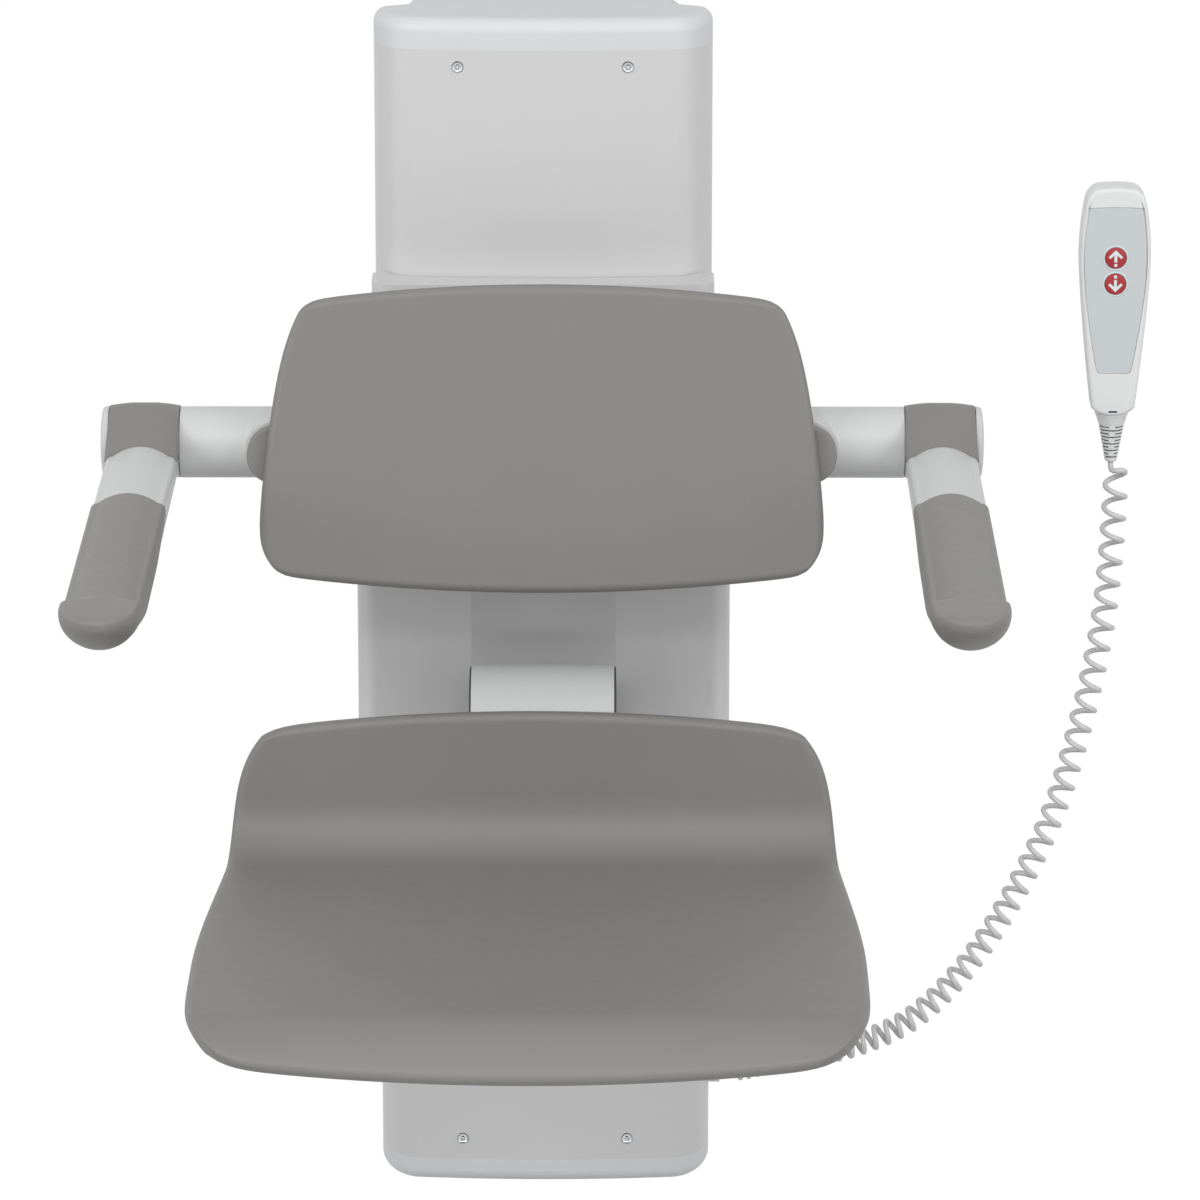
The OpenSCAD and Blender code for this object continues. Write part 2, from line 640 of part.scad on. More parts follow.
module seat_shell() color("gray") difference() {
    skin([for (s = seat_rows) seat_ring(s / seat_l)]);
    seat_screw_places() bar_z(seat_screw_d, 0, 0, under_h - seat_bar_t, under_h + seat_t / 3);
}

// Backrest: a leaning sheet that curves forward at its sides
back_corner_top = 14.5;
back_corner_low = 8;
back_drop_top = 8.5;
back_rise_low = 9.2;
back_arch_top = 11.8;
back_arch_low = 13;
function back_half(v) = back_w / 2 - back_taper * (1 - smooth(v))
    - back_corner_top * pow(1 - v, 6) - back_corner_low * pow(v, 19);
function back_start(u) = back_arch_top * u * u + back_drop_top * pow(abs(u), 30);
function back_end(u) = back_h - back_arch_low * u * u - back_rise_low * pow(abs(u), 39);
function back_point(u, v, side) =
    let (s = back_start(u) * (1 - v) + back_end(u) * v, half = back_half(v),
        e = min(half * (1 - abs(u)), min(v, 1 - v) * back_h + end_flat),
        t = side * back_t / 2 * edge_round(e, back_t / 2), x = u * half)
    [x, -t - back_curve * x * x * 4 / back_w / back_w, back_h / 2 - s];
function back_ring(v) = concat([for (u = across) back_point(u, v, -1)],
    [for (i = [len(across) - 2:-1:1]) back_point(across[i], v, 1)]);
back_rows = concat([for (k = edge_shares) k * back_t / 2],
    [for (k = [1:11]) back_t / 2 + (back_h - back_t) * k / 12],
    [for (k = [3:-1:0]) back_h - edge_shares[k] * back_t / 2]);
module at_back() translate([0, -back_f, z(back_mid_h)]) rotate([-back_lean, 0, 0]) children();
module backrest() color("gray") at_back() skin([for (s = back_rows) back_ring(s / back_h)]);

// Cradle behind the cross tube, silver saddle in front of it and the backrest's grey carrier
cradle_w = 90;
cradle_h = tube_d + 4 * barrel_t;
module tube_bore() bar_x(tube_d, -span / 2, span / 2, tube_f, tube_h);
module tube_cradle() color("silver") difference() {
    block(-cradle_w / 2, cradle_w / 2, frame_f + frame_t, tube_f,
        tube_h - cradle_h / 2, tube_h + cradle_h / 2);
    tube_bore();
}
carrier_w = 411;
carrier_h = 39;
saddle_rim = 2;
saddle_f = tube_f + tube_d / 2 + saddle_rim;
module slot_form(w, h, f0, f1) {
    both_sides() bar_f(h, w / 2 - h / 2, f0, f1, tube_h);
    block(-w / 2 + h / 2, w / 2 - h / 2, f0, f1, tube_h - h / 2, tube_h + h / 2);
}
module tube_saddle() color("silver") difference() {
    hull() {
        slot_form(carrier_w + 4 * saddle_rim, tube_d + saddle_rim, tube_f + gap, tube_f + 3 * gap,
            $fn = hull_fn);
        slot_form(carrier_w + 2 * saddle_rim, carrier_h + 2 * saddle_rim, saddle_f - over, saddle_f,
            $fn = hull_fn);
    }
    tube_bore();
}
module backrest_carrier() color("gray") intersection() {
    slot_form(carrier_w, carrier_h, saddle_f, back_f + back_t);
    at_back() translate([0, 0, -back_h / 2]) linear_extrude(back_h)
        polygon(concat([[-back_w, 2 * back_t], [-back_w, -back_curve]],
            [for (i = [-8:8]) let (x = carrier_w / 2 * i / 8)
                [x, back_t / 2 + run - back_curve * x * x * 4 / back_w / back_w]],
            [[back_w, -back_curve], [back_w, 2 * back_t]]));
}
module cross_tube() color("silver") difference() {
    bar_x(tube_d, -tube_x, tube_x, tube_f, tube_h);
    bar_x(tube_d - 2 * tube_t, -tube_x - over, tube_x + over, tube_f, tube_h);
}

// Armrests: a stub axle in each tube end, a hub that turns on it and an end disc
disc_x = span / 2 - disc_t;
tube_x = disc_x - arm_w - 2 * gap;
hub_x0 = tube_x + gap;
hub_x1 = disc_x - gap;
arm_x = (hub_x0 + hub_x1) / 2;
module arm_axles() color("silver") both_sides() {
    bar_x(axle_d, tube_x, disc_x, tube_f, tube_h);
    bar_x(tube_d - 2 * tube_t, tube_x - axle_d, tube_x, tube_f, tube_h);
}
module arm_end_discs() color("silver") both_sides() {
    bar_x(tube_d, disc_x, disc_x + disc_t / 2, tube_f, tube_h);
    translate([disc_x + disc_t / 2, -tube_f, z(tube_h)]) rotate([0, 90, 0])
        cylinder(d1 = tube_d, d2 = tube_d - disc_t, h = disc_t / 2);
}
// Section of an armrest as seen from the front: below it is oval, or flat where belly is 0,
// and above it has rounded corners and a crown. The rounding is at most a share of its height,
// and so is the oval's depth
section_round = 5;
function arm_section(half, edge, crown, low, belly = 1, share = 0.25, oval = 0.5) =
    let (r = min(section_round, (edge - low) * share), side = (edge - low) * oval, in = half - r)
    concat([for (i = [0:12]) let (a = 180 + 15 * i)
            [half * cos(a), low + side * (1 + sin(a)) * belly]],
        [for (i = [0:3]) let (a = 30 * i) [in + r * cos(a), edge - r + r * sin(a)]],
        [for (i = [1:5]) let (x = in * (1 - i / 3)) [x, edge + crown * (1 - x * x / in / in)]],
        [for (i = [3:-1:0]) let (a = 180 - 30 * i) [-in + r * cos(a), edge - r + r * sin(a)]]);
module bar_form(grow, f0, f1)
    translate([arm_x, -f0, 0]) rotate([90, 0, 0]) linear_extrude(f1 - f0) polygon([
        for (p = arm_section(arm_w / 2 + grow, arm_top_h + grow, arm_crown, arm_low_h - grow))
            [p[0], z(p[1])]]);
module arm_bar() difference() {
    union() {
        bar_x(tube_d, hub_x0, hub_x1, tube_f, tube_h);
        bar_form(0, tube_f, arm_front);
    }
    bar_x(axle_d + 2 * run, hub_x0 - over, hub_x1 + over, tube_f, tube_h);
}
// Hinge cover: it lies over the hub with a crowned top and ends at the bar's top corners
module arm_cover() difference() {
    hull() {
        for (s = [0.36, 0.64, 0.85, 1]) bar_x(tube_d + arm_cover_t * (2 - 1.5 * s * s),
            arm_x - s * arm_w / 2, arm_x + s * arm_w / 2, tube_f, tube_h, $fn = hull_fn);
        bar_form(2 * gap, arm_cover_f - over, arm_cover_f);
    }
    bar_x(tube_d + 2 * run, hub_x0 - over, hub_x1 + over, tube_f, tube_h);
    bar_form(run, tube_f, arm_cover_f + over);
    block(hub_x0 - over, hub_x1 + over, tube_f - tube_d, arm_cover_f + over,
        tube_h - tube_d, tube_h - 2 * gap);
}
// Pad: it lies on the bar and reaches further down towards the nose. Rows along the nose are
// shares of the nose's length, the pad's half width, the lip's rise and the underside's rise
nose_shares = [
    [0, 1, 0, 0], [0.08, 1, 0.08, 0.01], [0.14, 1.005, 0.4, 0.03], [0.2, 1.015, 0.78, 0.055],
    [0.28, 1.02, 0.96, 0.1], [0.4, 1.02, 1, 0.18], [0.52, 1.015, 1, 0.29], [0.64, 0.98, 1, 0.42],
    [0.75, 0.91, 0.98, 0.56], [0.85, 0.78, 0.93, 0.71], [0.93, 0.6, 0.82, 0.85],
    [0.98, 0.4, 0.64, 0.95], [1, 0.25, 0.5, 1]];
nose_f = arm_front + pad_t;
pad_half = arm_w / 2 + pad_t / 2;
pad_tall = arm_top_h - arm_low_h;
function pad_ring(f, half, edge, crown, low, belly, share = 0.25, oval = 0.5) = [
    for (p = arm_section(half, edge, crown, low, belly, share, oval)) [arm_x + p[0], -f, z(p[1])]];
// Rows at the pad's rear, as distances from its rear edge and the pad's thickness there
pad_starts = [[0, 0.33, 0.9], [0.6, 0.85, 0.82], [2, 1, 0.78], [5, 1, 0.76]];
pad_ends = 0.22;
function pad_rings() = concat(
    [for (r = pad_starts) pad_ring(pad_f + r[0] * pad_t, arm_w / 2 + pad_t / 2 * r[1],
        arm_top_h + pad_t * r[1], arm_crown, arm_low_h + pad_tall * r[2], 0, 0.45)],
    [pad_ring(nose_f - pad_t / 2, pad_half, arm_top_h + pad_t, arm_crown,
        arm_low_h + pad_tall * pad_ends, 0, 0.45)],
    [for (r = nose_shares) pad_ring(nose_f + r[0] * (pad_front - nose_f), pad_half * r[1],
        arm_top_h + pad_t + lip_rise * r[2], arm_crown * (1 - 0.9 * r[2]),
        arm_low_h - pad_t + (pad_tall + pad_t) * r[3], 1, 0.25, 0.5 + 0.2 * r[3])]);
module arm_pad() difference() {
    skin(pad_rings());
    bar_form(run, tube_f, arm_front + gap / 2);
}
module left_arm_bar() color("silver") mirror([1, 0, 0]) arm_bar();
module right_arm_bar() color("silver") arm_bar();
module left_arm_cover() color("gray") mirror([1, 0, 0]) arm_cover();
module right_arm_cover() color("gray") arm_cover();
module left_arm_pad() color("gray") mirror([1, 0, 0]) arm_pad();
module right_arm_pad() color("gray") arm_pad();

// Handset: outline as seen from the front, anticlockwise from the foot's right corner
handset_shares = [0, 0.06, 0.14, 0.24, 0.36, 0.48, 0.58, 0.68, 0.76, 0.84, 0.9, 0.94, 0.97, 0.986,
    1];
function handset_half(v) = let (k = (v - 0.68) / 0.32)
    k < 0 ? handset_w / 2 - (handset_w - handset_foot_w) / 2 * pow(1 - v / 0.68, 1.35)
    : handset_w * (0.5 - 0.11 * pow(k, 2) - 0.12 * pow(k, 16));
// The top is slightly arched, and the foot hangs down in the middle
top_arch = 1;
foot_arch = 4;
foot_corner = 2;
sides_low = foot_arch + foot_corner;
sides_l = handset_l - top_arch - sides_low;
function handset_ring(f, inset) = let (right = [for (v = handset_shares)
        [handset_half(v) - inset, sides_low + inset + (sides_l - 2 * inset) * v]],
    foot = right[0][0] - foot_corner, top = right[len(right) - 1][0])
    [for (p = concat([[0, inset], [foot / 2, inset + foot_arch / 4], [foot, inset + foot_arch]],
        right, [[top / 2, handset_l - inset - top_arch / 4], [0, handset_l - inset],
        [-top / 2, handset_l - inset - top_arch / 4]], [for (q = reversed(right)) [-q[0], q[1]]],
        [[-foot, inset + foot_arch], [-foot / 2, inset + foot_arch / 4]]))
        [handset_x + p[0], -f, z(handset_h + p[1])]];
relief_f = handset_f + handset_t / 2;
collar_r = relief_top_d * 0.64;
// Socket in the housing's foot for the strain relief's collar
module collar_socket()
    translate([handset_x, -relief_f, z(handset_h - over)])
        cylinder(r = collar_r + run, h = foot_arch + over);
split_f = handset_f + handset_t * 0.45;
foil_t = 0.8;
face_f = handset_f + handset_t;
round_steps = 3;
// Hanging pocket in the back: a wide mouth below, and a lip that holds the hook above it
hook_w = 16;
hook_t = 3;
hook_h = 24;
hook_lip = 2;
hook_low_h = handset_h + handset_l * 0.45;
module handset_back() color("white") difference() {
    flat_skin(concat([for (k = [round_steps:-1:0]) let (a = 90 * k / round_steps)
        handset_ring(handset_f + handset_round * (1 - sin(a)), handset_round * (1 - cos(a)))],
        [handset_ring(split_f, 0)]));
    tongue_f0 = handset_f + hook_lip - gap;
    tongue_f1 = handset_f + hook_lip + hook_t + gap;
    mouth_low_h = hook_low_h - hook_h - 2 * hook_t;
    lip_low_h = hook_low_h + hook_t + gap;
    translate([handset_x - hook_w / 2 - gap, 0, 0]) rotate([90, 0, 90])
        linear_extrude(hook_w + 2 * gap) polygon([
            [over - handset_f, z(mouth_low_h)], [over - handset_f, z(lip_low_h)],
            [-tongue_f0, z(lip_low_h)], [-tongue_f0, z(hook_low_h + hook_h + gap)],
            [-tongue_f1, z(hook_low_h + hook_h + gap)], [-tongue_f1, z(mouth_low_h)]]);
    collar_socket();
}
button_gap = 0.35;
module button_hole(h)
    bar_f(button_d + 2 * button_gap, handset_x, face_f - 3 * foil_t - button_travel - gap,
        face_f + over, handset_h + h);
module handset_front() color("white") difference() {
    flat_skin(concat([handset_ring(split_f, 0)],
        [for (k = [0:round_steps]) let (a = 90 * k / round_steps)
            handset_ring(face_f - handset_round + handset_round * sin(a),
                handset_round * (1 - cos(a)))]));
    for (h = [button_up_h, button_down_h]) button_hole(h);
    collar_socket();
}
// Foil on the front with rounded corners, and with the holes for the buttons
foil_low = 31.8;
foil_top = 14.6;
foil_taper = 4.2;
foil_round = 2.6;
foil_l = handset_l - foil_low - foil_top;
foil_ends = [for (k = [0:4]) foil_round / foil_l * (1 - cos(22.5 * k))];
foil_shares = concat(foil_ends, [0.12, 0.24, 0.36, 0.48, 0.6, 0.72, 0.82, 0.92],
    [for (k = [4:-1:0]) 1 - foil_ends[k]]);
function foil_half(v) = handset_half((foil_low - sides_low + v * foil_l) / sides_l)
    - handset_round - foil_taper * pow(1 - v, 3)
    - foil_round * (1 - edge_round(min(v, 1 - v) * foil_l, foil_round));
module handset_foil() color("lightsteelblue") difference() {
    translate([handset_x, -face_f, z(handset_h + foil_low)]) rotate([90, 0, 0])
        linear_extrude(foil_t) polygon(concat(
            [for (v = foil_shares) [foil_half(v), v * foil_l]],
            [for (v = reversed(foil_shares)) [-foil_half(v), v * foil_l]]));
    for (h = [button_up_h, button_down_h]) button_hole(h);
}
module button(h) color("firebrick")
    bar_f(button_d, handset_x, face_f - 3 * foil_t, face_f + foil_t * 1.5, handset_h + h);
module button_up() button(button_up_h);
module button_down() button(button_down_h);

// Strain relief: a collar and a tapering sleeve with narrow grooves round it
sleeve_l = relief_l * 0.81;
groove_deep = 0.9;
function relief_r(h) = relief_tip_d / 2 + (relief_top_d - relief_tip_d) / 2 * h / sleeve_l;
function relief_profile() = let (low = sleeve_l * 0.13, pitch = (sleeve_l - low) / relief_grooves)
    concat([[0, 0], [relief_r(0) * 0.75, 0], [relief_r(0), relief_r(0) * 0.3]],
        [for (i = [0:relief_grooves - 1]) let (h0 = low + i * pitch, h1 = h0 + pitch * 0.36) each [
            [relief_r(h0), h0], [relief_r(h0) - groove_deep, h0],
            [relief_r(h1) - groove_deep, h1], [relief_r(h1), h1]]],
        [[relief_r(sleeve_l), sleeve_l], [collar_r, relief_l], [collar_r, relief_l + foot_arch],
            [0, relief_l + foot_arch]]);
module strain_relief() color("gainsboro")
    translate([handset_x, -relief_f, z(handset_h - relief_l)])
        rotate_extrude() polygon(relief_profile());

// Holder on the wall: a plate with two screw holes and a hook that points up
holder_w = 30;
holder_h = 72;
holder_t = 4;
holder_screw_dz = 50;
holder_mid_h = hook_low_h;
holder_screw_d = 4.5;
module handset_holder() color("white") difference() {
    union() {
        block(handset_x - holder_w / 2, handset_x + holder_w / 2, 0, holder_t,
            holder_mid_h - holder_h / 2, holder_mid_h + holder_h / 2);
        block(handset_x - hook_w / 2, handset_x + hook_w / 2, holder_t,
            handset_f + hook_lip + hook_t, hook_low_h - hook_t, hook_low_h);
        block(handset_x - hook_w / 2, handset_x + hook_w / 2, handset_f + hook_lip,
            handset_f + hook_lip + hook_t, hook_low_h, hook_low_h + hook_h);
    }
    for (s = [-1, 1]) bar_f(holder_screw_d, handset_x, -over, holder_t + over,
        holder_mid_h + s * holder_screw_dz / 2);
}
// Curly cord: points chosen by hand along the middle of its curls, from handset to gland
cord_route = [
    [408, -21, 98.5], [408, -21, 95], [411.5, -21, 88], [411.5, -21, 72], [409, -21, 24],
    [404, -22, -25],
    [392, -22, -89], [372, -23, -163], [343.5, -25, -227], [310, -27, -281], [272, -30, -322],
    [230, -33, -347], [190, -36, -357], [160, -38, -360], [134, -38, -360]];
// Smooth curve through the points, and its length up to each sample
route_ends = concat([2 * cord_route[0] - cord_route[1]], cord_route,
    [2 * cord_route[len(cord_route) - 1] - cord_route[len(cord_route) - 2]]);
function route_at(t) = let (m = len(cord_route) - 1, i = min(m - 1, floor(t * m)),
    k = t * m - i, a = route_ends[i], b = route_ends[i + 1], c = route_ends[i + 2],
    d = route_ends[i + 3])
    b + k / 2 * (c - a + k * (2 * a - 5 * b + 4 * c - d + k * (3 * b - 3 * c + d - a)));
samples = 260;
route_points = [for (i = [0:samples]) route_at(i / samples)];
route_sums = [for (i = 0, s = 0; i <= samples;
    i = i + 1, s = i <= samples ? s + norm(route_points[i] - route_points[i - 1]) : s) s];
route_table = [for (i = [0:samples]) [route_sums[i], i / samples]];
route_l = route_sums[samples];
// Place of a phase along the cord, as the curls open towards the handset
pitch_loss = sqrt(1 - pitch_low / pitch_top);
slow_down = ln((1 + pitch_loss) / (1 - pitch_loss));
curl_ramp = 1.2 * cord_d;
function curl_s(p) = let (e = exp(slow_down * p))
    cord_d + (route_l - 2 * cord_d) * (e - 1) / (e + 1) / pitch_loss;
function curl_r(s) = (curl_d - cord_d) / 2
    * smooth((min(s, route_l - s) - cord_d) / curl_ramp);
start_phase = -214;
function curl_frame(s) = let (t = lookup(s, route_table),
    along = unit(route_at(min(1, t + 0.001)) - route_at(max(0, t - 0.001))),
    side = unit(cross(along, [0, 1, 0]))) [route_at(t), side, cross(along, side)];
// Centre of the cord at a phase, and the way out from the middle of its curl
function curl_point(p) = let (s = curl_s(p), f = curl_frame(s), a = start_phase - 360 * curls * p,
    out = cos(a) * f[1] + sin(a) * f[2]) [f[0] + curl_r(s) * out, out];
curl_rings = 8;
curl_sides = 6;
curl_places = [for (i = [0:curls * curl_rings]) curl_point(i / curls / curl_rings)];
curl_centres = concat([cord_route[0]], [for (p = curl_places) p[0]],
    [cord_route[len(cord_route) - 1]]);
curl_outs = concat([curl_places[0][1]], [for (p = curl_places) p[1]],
    [curl_places[len(curl_places) - 1][1]]);
function centre_way(i) = let (n = len(curl_centres) - 1, m = len(cord_route) - 1)
    i <= 1 ? unit(cord_route[1] - cord_route[0]) :
    i >= n - 1 ? unit(cord_route[m] - cord_route[m - 1]) :
    unit(curl_centres[i + 1] - curl_centres[i - 1]);
function cord_ring(i) = let (way = centre_way(i), e = curl_outs[i],
    out = unit(e - (e * way) * way), up = cross(way, out))
    [for (k = [0:curl_sides - 1]) let (a = 360 * k / curl_sides)
        curl_centres[i] + cord_d / 2 * (cos(a) * out + sin(a) * up)];
next_turn = curl_rings * 3 / 2;
cord_turns_apart = [for (i = [0:len(curl_centres) - 1 - next_turn],
    j = [i + curl_rings / 2 + 1:i + next_turn]) norm(curl_centres[i] - curl_centres[j])];
echo(cord_least_gap = min(cord_turns_apart) - cord_d);
module curly_cord() color("lightgray")
    skin([for (i = [0:len(curl_centres) - 1]) cord_ring(i)]);

wall_rail();
cover_posts();
column_cover();
top_cap();
bottom_cap();
cover_screws();
actuator_motor();
actuator_tube();
control_box();
cord_gland();
handset_holder();
curly_cord();
carriage_frame();
drive_bar();
actuator_rod();
slide_pads();
carriage_cover();
hinge_bracket();
hinge_pin();
tube_cradle();
cross_tube();
tube_saddle();
arm_axles();
arm_end_discs();
backrest_carrier();
backrest();
seat_bracket();
hinge_bushes();
hinge_shroud();
seat_shell();
seat_screws();
left_arm_bar();
left_arm_cover();
left_arm_pad();
right_arm_bar();
right_arm_cover();
right_arm_pad();
handset_back();
handset_front();
handset_foil();
button_up();
button_down();
strain_relief();
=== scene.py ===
"""Dresses a wall-hung shower seat: a lifting column, moulded seat and backrest, fold-up armrests,
and a handset on a curly cord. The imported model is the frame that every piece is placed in."""

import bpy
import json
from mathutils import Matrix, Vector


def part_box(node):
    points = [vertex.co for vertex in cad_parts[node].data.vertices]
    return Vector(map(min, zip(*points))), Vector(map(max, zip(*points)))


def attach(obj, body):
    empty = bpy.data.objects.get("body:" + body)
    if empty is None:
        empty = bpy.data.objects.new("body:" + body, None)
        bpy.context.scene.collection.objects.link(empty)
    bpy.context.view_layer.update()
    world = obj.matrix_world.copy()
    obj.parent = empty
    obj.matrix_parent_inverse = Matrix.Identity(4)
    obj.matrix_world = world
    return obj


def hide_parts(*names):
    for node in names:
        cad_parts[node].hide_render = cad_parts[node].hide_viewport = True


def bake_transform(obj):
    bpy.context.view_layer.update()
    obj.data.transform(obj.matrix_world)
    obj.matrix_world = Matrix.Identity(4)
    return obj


bl_info = {
    "name": "Shower Seat Dresser",
    "version": (1, 0, 0),
    "blender": (4, 5, 0),
    "location": "View3D > Sidebar > Shower Seat",
    "description": "Builds the covers, shells, pads, handset and cord of a wall-hung shower seat",
    "category": "Object",
}

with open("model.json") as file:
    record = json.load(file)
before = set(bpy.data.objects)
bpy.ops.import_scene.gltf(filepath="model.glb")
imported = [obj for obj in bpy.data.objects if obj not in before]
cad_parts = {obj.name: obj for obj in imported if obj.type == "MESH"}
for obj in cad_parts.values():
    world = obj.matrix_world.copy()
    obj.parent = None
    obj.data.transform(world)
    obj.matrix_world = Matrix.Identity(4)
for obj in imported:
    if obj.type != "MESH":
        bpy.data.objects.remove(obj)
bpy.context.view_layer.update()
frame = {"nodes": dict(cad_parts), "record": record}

import json
import math

import bmesh
import bpy
import numpy as np
from bpy.props import FloatProperty, FloatVectorProperty, IntProperty, PointerProperty
from mathutils import Vector

# Metres. F is a distance in front of the wall, UP, LOW and EDGE are heights above the column's foot
COLUMN_H = 0.865
COVER_T, COVER_REAR_F = 0.0025, 0.028
CAP_REAR_X, CAP_REAR_F = 0.098, 0.018
SCREW_X, SCREW_UP = 0.060, 0.034
TUBE_F, TUBE_UP = 0.151, 0.578
ARM_LOW, ARM_EDGE, ARM_CROWN = 0.551, 0.581, 0.007
FLOOR_DROP = 0.15
ROUND_STEPS = 96


# -------- sizes and colours


def length(name, description, default, low, high):
    return FloatProperty(
        name=name, description=description, default=default, min=low, max=high, unit="LENGTH", precision=4
    )


def colour(name, description, red, green, blue):
    """A colour property from the 0 to 255 values that a colour picker shows."""

    def linear(c):
        c /= 255
        return c / 12.92 if c <= 0.04045 else ((c + 0.055) / 1.055) ** 2.4

    default = (linear(red), linear(green), linear(blue))
    return FloatVectorProperty(
        name=name, description=description, default=default, min=0, max=1, size=3, subtype="COLOR"
    )


class ShowerSeatSizes(bpy.types.PropertyGroup):
    """Sizes of the pieces that are built here, in metres"""

    column_w: length("Column width", "Width of the column", 0.240, 0.2, 0.3)
    column_d: length("Column depth", "From the wall to the column's front", 0.080, 0.06, 0.1)
    column_crown: length("Column crown", "Bulge of the column's front", 0.005, 0.001, 0.01)
    corner_w: length("Corner width", "Width of a front corner's oval", 0.029, 0.01, 0.04)
    corner_d: length("Corner depth", "Depth of a front corner's oval", 0.046, 0.02, 0.05)
    cap_top: length("Top cap", "Height of the top cap", 0.022, 0.015, 0.03)
    cap_bottom: length("Bottom cap", "Height of the bottom cap", 0.018, 0.012, 0.03)
    cap_round: length("Cap rounding", "Rounding of the caps' edges", 0.010, 0.002, 0.012)
    seat_w: length("Seat width", "Width of the seat at its widest", 0.454, 0.42, 0.47)
    seat_rear_w: length("Seat rear width", "Width of the seat at its rear", 0.421, 0.39, 0.43)
    seat_t: length("Seat thickness", "Thickness of the seat shell", 0.012, 0.009, 0.014)
    back_w: length("Backrest width", "Width of the backrest", 0.395, 0.37, 0.41)
    back_h: length("Backrest height", "Height of the backrest along its slope", 0.215, 0.2, 0.225)
    back_t: length("Backrest thickness", "Thickness of the backrest", 0.012, 0.009, 0.013)
    tube_d: length("Tube diameter", "Diameter of the cross tube", 0.050, 0.044, 0.054)
    arm_w: length("Armrest width", "Width of an armrest's metal bar", 0.049, 0.044, 0.0495)
    handset_w: length("Handset width", "Width of the handset at its widest", 0.0504, 0.046, 0.054)
    handset_foot_w: length("Handset foot width", "Width of the handset at its foot", 0.031, 0.028, 0.034)
    handset_l: length("Handset length", "Length of the handset's housing", 0.167, 0.158, 0.176)
    button_d: length("Button diameter", "Diameter of a button", 0.0154, 0.013, 0.017)
    cord_d: length("Cord thickness", "Thickness of the cord", 0.0040, 0.003, 0.0042)
    curl_d: length("Curl diameter", "Outside of the cord's curls", 0.019, 0.016, 0.021)
    curls: IntProperty(name="Curls", description="Number of curls in the cord", default=49, min=40, max=56)


class ShowerSeatColours(bpy.types.PropertyGroup):
    """Colours of the finishes"""

    coat: colour("Column coat", "Satin coat of the column and carriage", 207, 207, 208)
    cap: colour("Caps", "Moulded caps of the column", 215, 216, 218)
    anodised: colour("Anodised metal", "Armrest bars", 204, 205, 205)
    tube: colour("Cross tube", "Satin metal of the cross tube and its discs", 206, 207, 207)
    # Same satin metal as the tube, set a little lighter: painted light that lifts the barrel where the backrest shades
    # it
    barrel: colour("Barrel", "Satin metal of the seat hinge's barrel", 208, 209, 209)
    shell: colour("Seat grey", "Seat, backrest and armrest pads", 127, 126, 124)
    housing: colour("Handset", "Housing of the handset", 226, 227, 227)
    foil: colour("Foil", "Film on the handset's front", 201, 206, 209)
    ring: colour("Button rings", "Raised rings round the buttons", 208, 222, 223)
    button: colour("Buttons", "Buttons of the handset", 169, 40, 49)
    mark: colour("Marks", "Arrows on the buttons", 218, 230, 231)
    cord: colour("Cord", "Sheath of the curly cord", 208, 208, 208)
    steel: colour("Steel", "Inner steel parts", 176, 177, 179)
    screw: colour("Screws", "Heads of the cover screws", 198, 199, 200)
    dark: colour("Dark plastic", "Drive and control housings", 40, 41, 43)
    # Painted shade: a darker grey for the floors of the strain relief's slits
    shadow: colour("Slit painted shade", "Painted shade on the floors of the strain relief's slits", 120, 121, 122)
    bearing: colour("Bearing plastic", "Bushes and slide pads", 226, 226, 222)


# -------- helpers for meshes


def above_foot(height):
    """A height above the column's foot, as a height in the frame."""
    return height - COLUMN_H / 2


def smooth_step(t):
    t = np.clip(t, 0.0, 1.0)
    return t * t * (3 - 2 * t)


def edge_round(distance, radius):
    """Share of the full thickness at a distance from an edge that is rounded over a radius."""
    k = np.clip(1 - distance / radius, 0.0, 1.0)
    return np.sqrt(np.maximum(0.0, 1 - k * k))


def ring_faces(count, rings):
    """Quads between closed rings of count points each."""
    sides = [(j * count + i, j * count + (i + 1) % count) for j in range(rings - 1) for i in range(count)]
    return [(a, b, b + count, a + count) for a, b in sides]


def closed_form(rings):
    """Points and faces of a form through rings of equal counts, with a face at each end."""
    n, m = len(rings[0]), len(rings)
    return np.concatenate(rings), ring_faces(n, m) + [tuple(range(n)), tuple(range((m - 1) * n, m * n))]


def strip_end(count, first):
    """Closes a flat ring whose first half faces its second half."""
    half = count // 2
    faces = [(first, first + 1, first + count - 1)]
    faces += [(first + i, first + i + 1, first + count - i - 1, first + count - i) for i in range(1, half - 1)]
    return faces + [(first + half - 1, first + half, first + half + 1)]


def add_object(name, data):
    """A new object with this mesh, lamp or camera, in the scene."""
    item = bpy.data.objects.new(name, data)
    bpy.context.scene.collection.objects.link(item)
    return item


def face_outwards(mesh):
    work = bmesh.new()
    work.from_mesh(mesh)
    bmesh.ops.remove_doubles(work, verts=work.verts, dist=1e-7)
    bmesh.ops.recalc_face_normals(work, faces=work.faces)
    work.to_mesh(mesh)
    work.free()


def new_object(name, points, faces, finish, sharp=35.0, outwards=True):
    mesh = bpy.data.meshes.new(name)
    mesh.from_pydata(np.asarray(points, float).reshape(-1, 3).tolist(), [], faces)
    if outwards:
        face_outwards(mesh)
    shade(mesh, sharp)
    mesh.materials.append(FINISHES[finish])
    return add_object(name, mesh)


def shade(mesh, sharp):
    mesh.polygons.foreach_set("use_smooth", [True] * len(mesh.polygons))
    mesh.set_sharp_from_angle(angle=math.radians(sharp))
    mesh.update()


def bake(piece, sharp=None):
    """Turns the piece with its modifiers into a plain mesh."""
    bpy.context.view_layer.update()
    evaluated = piece.evaluated_get(bpy.context.evaluated_depsgraph_get())
    mesh = bpy.data.meshes.new_from_object(evaluated)
    piece.modifiers.clear()
    piece.data = mesh
    if sharp is not None:
        shade(mesh, sharp)
    return piece


